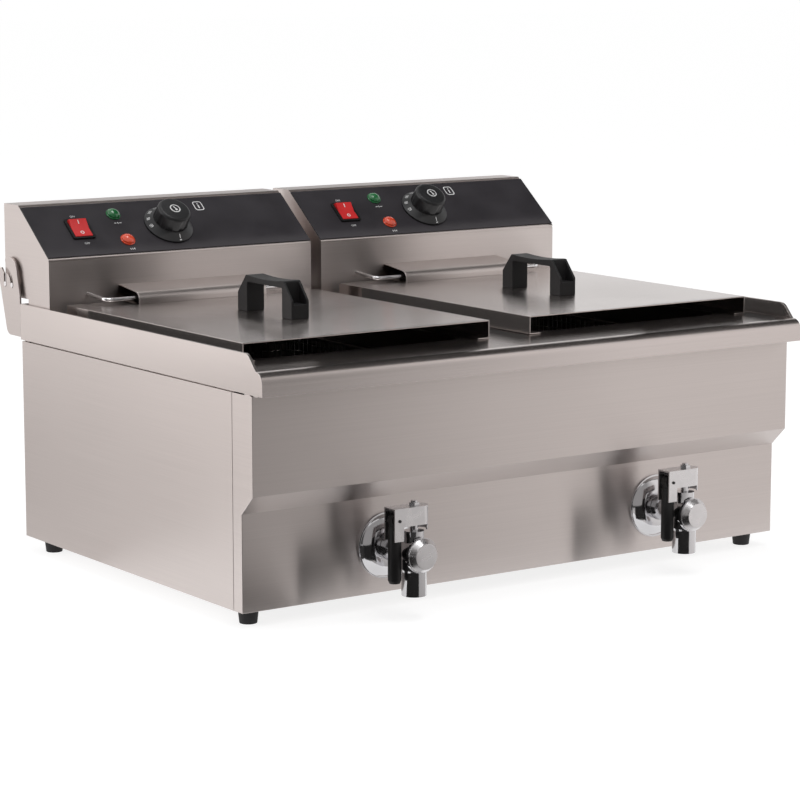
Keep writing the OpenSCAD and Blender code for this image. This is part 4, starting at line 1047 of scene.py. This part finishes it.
# %% Cards round the room
FLOOR_CARD = 0.002
low, high = (-1.5, -0.95, 0), (1.7, -0.95, 1.7)
flag("flag_front", low, high, tone=0.36, far_tone=0.97, fade=(0.16, 0.7))
flag("flag_camera", (-3.0, 0.2, 0), (-0.8, -3.2, 2.2), tone=0.05)
flag("flag_overhead", (0, -0.9, 1.6), (2.1, 1.0, 1.6), tone=0.06)
flag("flag_side", (-2.8, 1.3, 0), (-0.4, 1.3, 1.8), tone=1.8, far_tone=1.1, fade=(-1.25, -0.87))
flag("flag_back", (0.02, 1.0, 0.66), (1.0, 1.0, 0.9), tone=0.1, far_tone=1.0, fade=(0.68, 0.92))
low, high = (-1.6, 0.1, FLOOR_CARD), (-0.33, 1.25, FLOOR_CARD)
flag("flag_side_floor", low, high, tone=0.72, far_tone=0.5, fade=(0.2, 0.75), axis="Y")
low, high = (-0.24, -0.94, FLOOR_CARD), (1.2, -0.26, FLOOR_CARD)
flag("flag_foot", low, high, tone=0.46, far_tone=0.86, fade=(-0.15, 0.3))
low, high = (-1.4, -1.3, FLOOR_CARD), (-0.24, -0.22, FLOOR_CARD)
flag("flag_foot_left", low, high, tone=0.04)
room_cards = [piece.name for piece in bpy.data.objects if piece.name.startswith("flag_")]
print("room's cards:", len(room_cards))

# %% [markdown]
# ## Black cards at the lids, the deck and the taps
# Small black cards stand close to the pieces whose edges have to part from the steel behind
# them: beside each lid, beside the deck and under each tap. They are placed from the
# frame's boxes, so they follow the pieces.

# %% Cards at the lids, the deck and the taps
LID_CARD_GAP, LID_CARD_BACK = 0.004, 0.12
DECK_CARD_GAP, DECK_CARD_Y, DECK_CARD_LOW = 0.01, (0.12, -0.21), 0.24
TAP_CARD = (Vector((-0.072, 0.008, 0)), Vector((0.003, -0.044, 0.06)))
SPOUT_DEPTH = 0.012

for side in SIDES:
    low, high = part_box("lid_" + side)
    x = low.x - LID_CARD_GAP
    flag("flag_lid_" + side, (x, LID_CARD_BACK, low.z), (x, low.y, high.z), tone=0.05)
    low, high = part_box("tap_body_" + side)
    spout = Vector(((low.x + high.x) / 2, low.y + SPOUT_DEPTH, 0))
    flag("flag_tap_" + side, spout + TAP_CARD[0], spout + TAP_CARD[1], tone=0.02)
deck_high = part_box("deck")[1]
x = deck_high.x - DECK_CARD_GAP
low, high = (x, DECK_CARD_Y[0], DECK_CARD_LOW), (x, DECK_CARD_Y[1], deck_high.z)
flag("flag_deck", low, high, tone=0.05)
cards = [piece.name for piece in bpy.data.objects if piece.name.startswith("flag_")]
print("black cards at the pieces:", len(cards) - len(room_cards))

# %% [markdown]
# ## Cards at the heads
# A black card before each head draws the dark field on its front. A pale one catches the
# line of light along the fold below the control plate: it lies where a look from the camera
# goes after the slope has mirrored it. The cards are the last things in the scene, so the
# view is set here too: the Standard view shows a colour as it was written.

# %% Cards at the heads
HEAD_CARD_FROM = {"left": 0.12, "right": 0.19}
HEAD_CARD_WIDTH = {"left": 0.19, "right": 0.14}
HEAD_CARD_Y, HEAD_CARD_LOW, HEAD_CARD_HIGH = -0.15, 0.272, 0.48
LOOK = Vector((0.53, 0.83, -0.13))
FOLD_CARD = (Vector((-0.01, -0.018, 0)), Vector((0.31, 0.006, 0)))
FOLD_CARD_AWAY = 0.022

for side in SIDES:
    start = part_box("head_casing_" + side)[0].x + HEAD_CARD_FROM[side]
    end = start + HEAD_CARD_WIDTH[side]
    low, high = (start, HEAD_CARD_Y, HEAD_CARD_LOW), (end, HEAD_CARD_Y, HEAD_CARD_HIGH)
    flag("flag_head_" + side, low, high, tone=0.03)
    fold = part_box("control_plate_" + side)[0] + FOLD_CARD_AWAY * LOOK.reflect(slope_out)
    flag("card_fold_" + side, fold + FOLD_CARD[0], fold + FOLD_CARD[1], tone=1.0)
bpy.context.scene.view_settings.view_transform = "Standard"

# %% Finish
dressed_low, dressed_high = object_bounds()
sizes = {"cad": [list(cad_low), list(cad_high)], "visual": [list(dressed_low), list(dressed_high)]}
for name, corners in sizes.items():
    print(name, "box in mm:", [[round(v / MM, 1) for v in corner] for corner in corners])
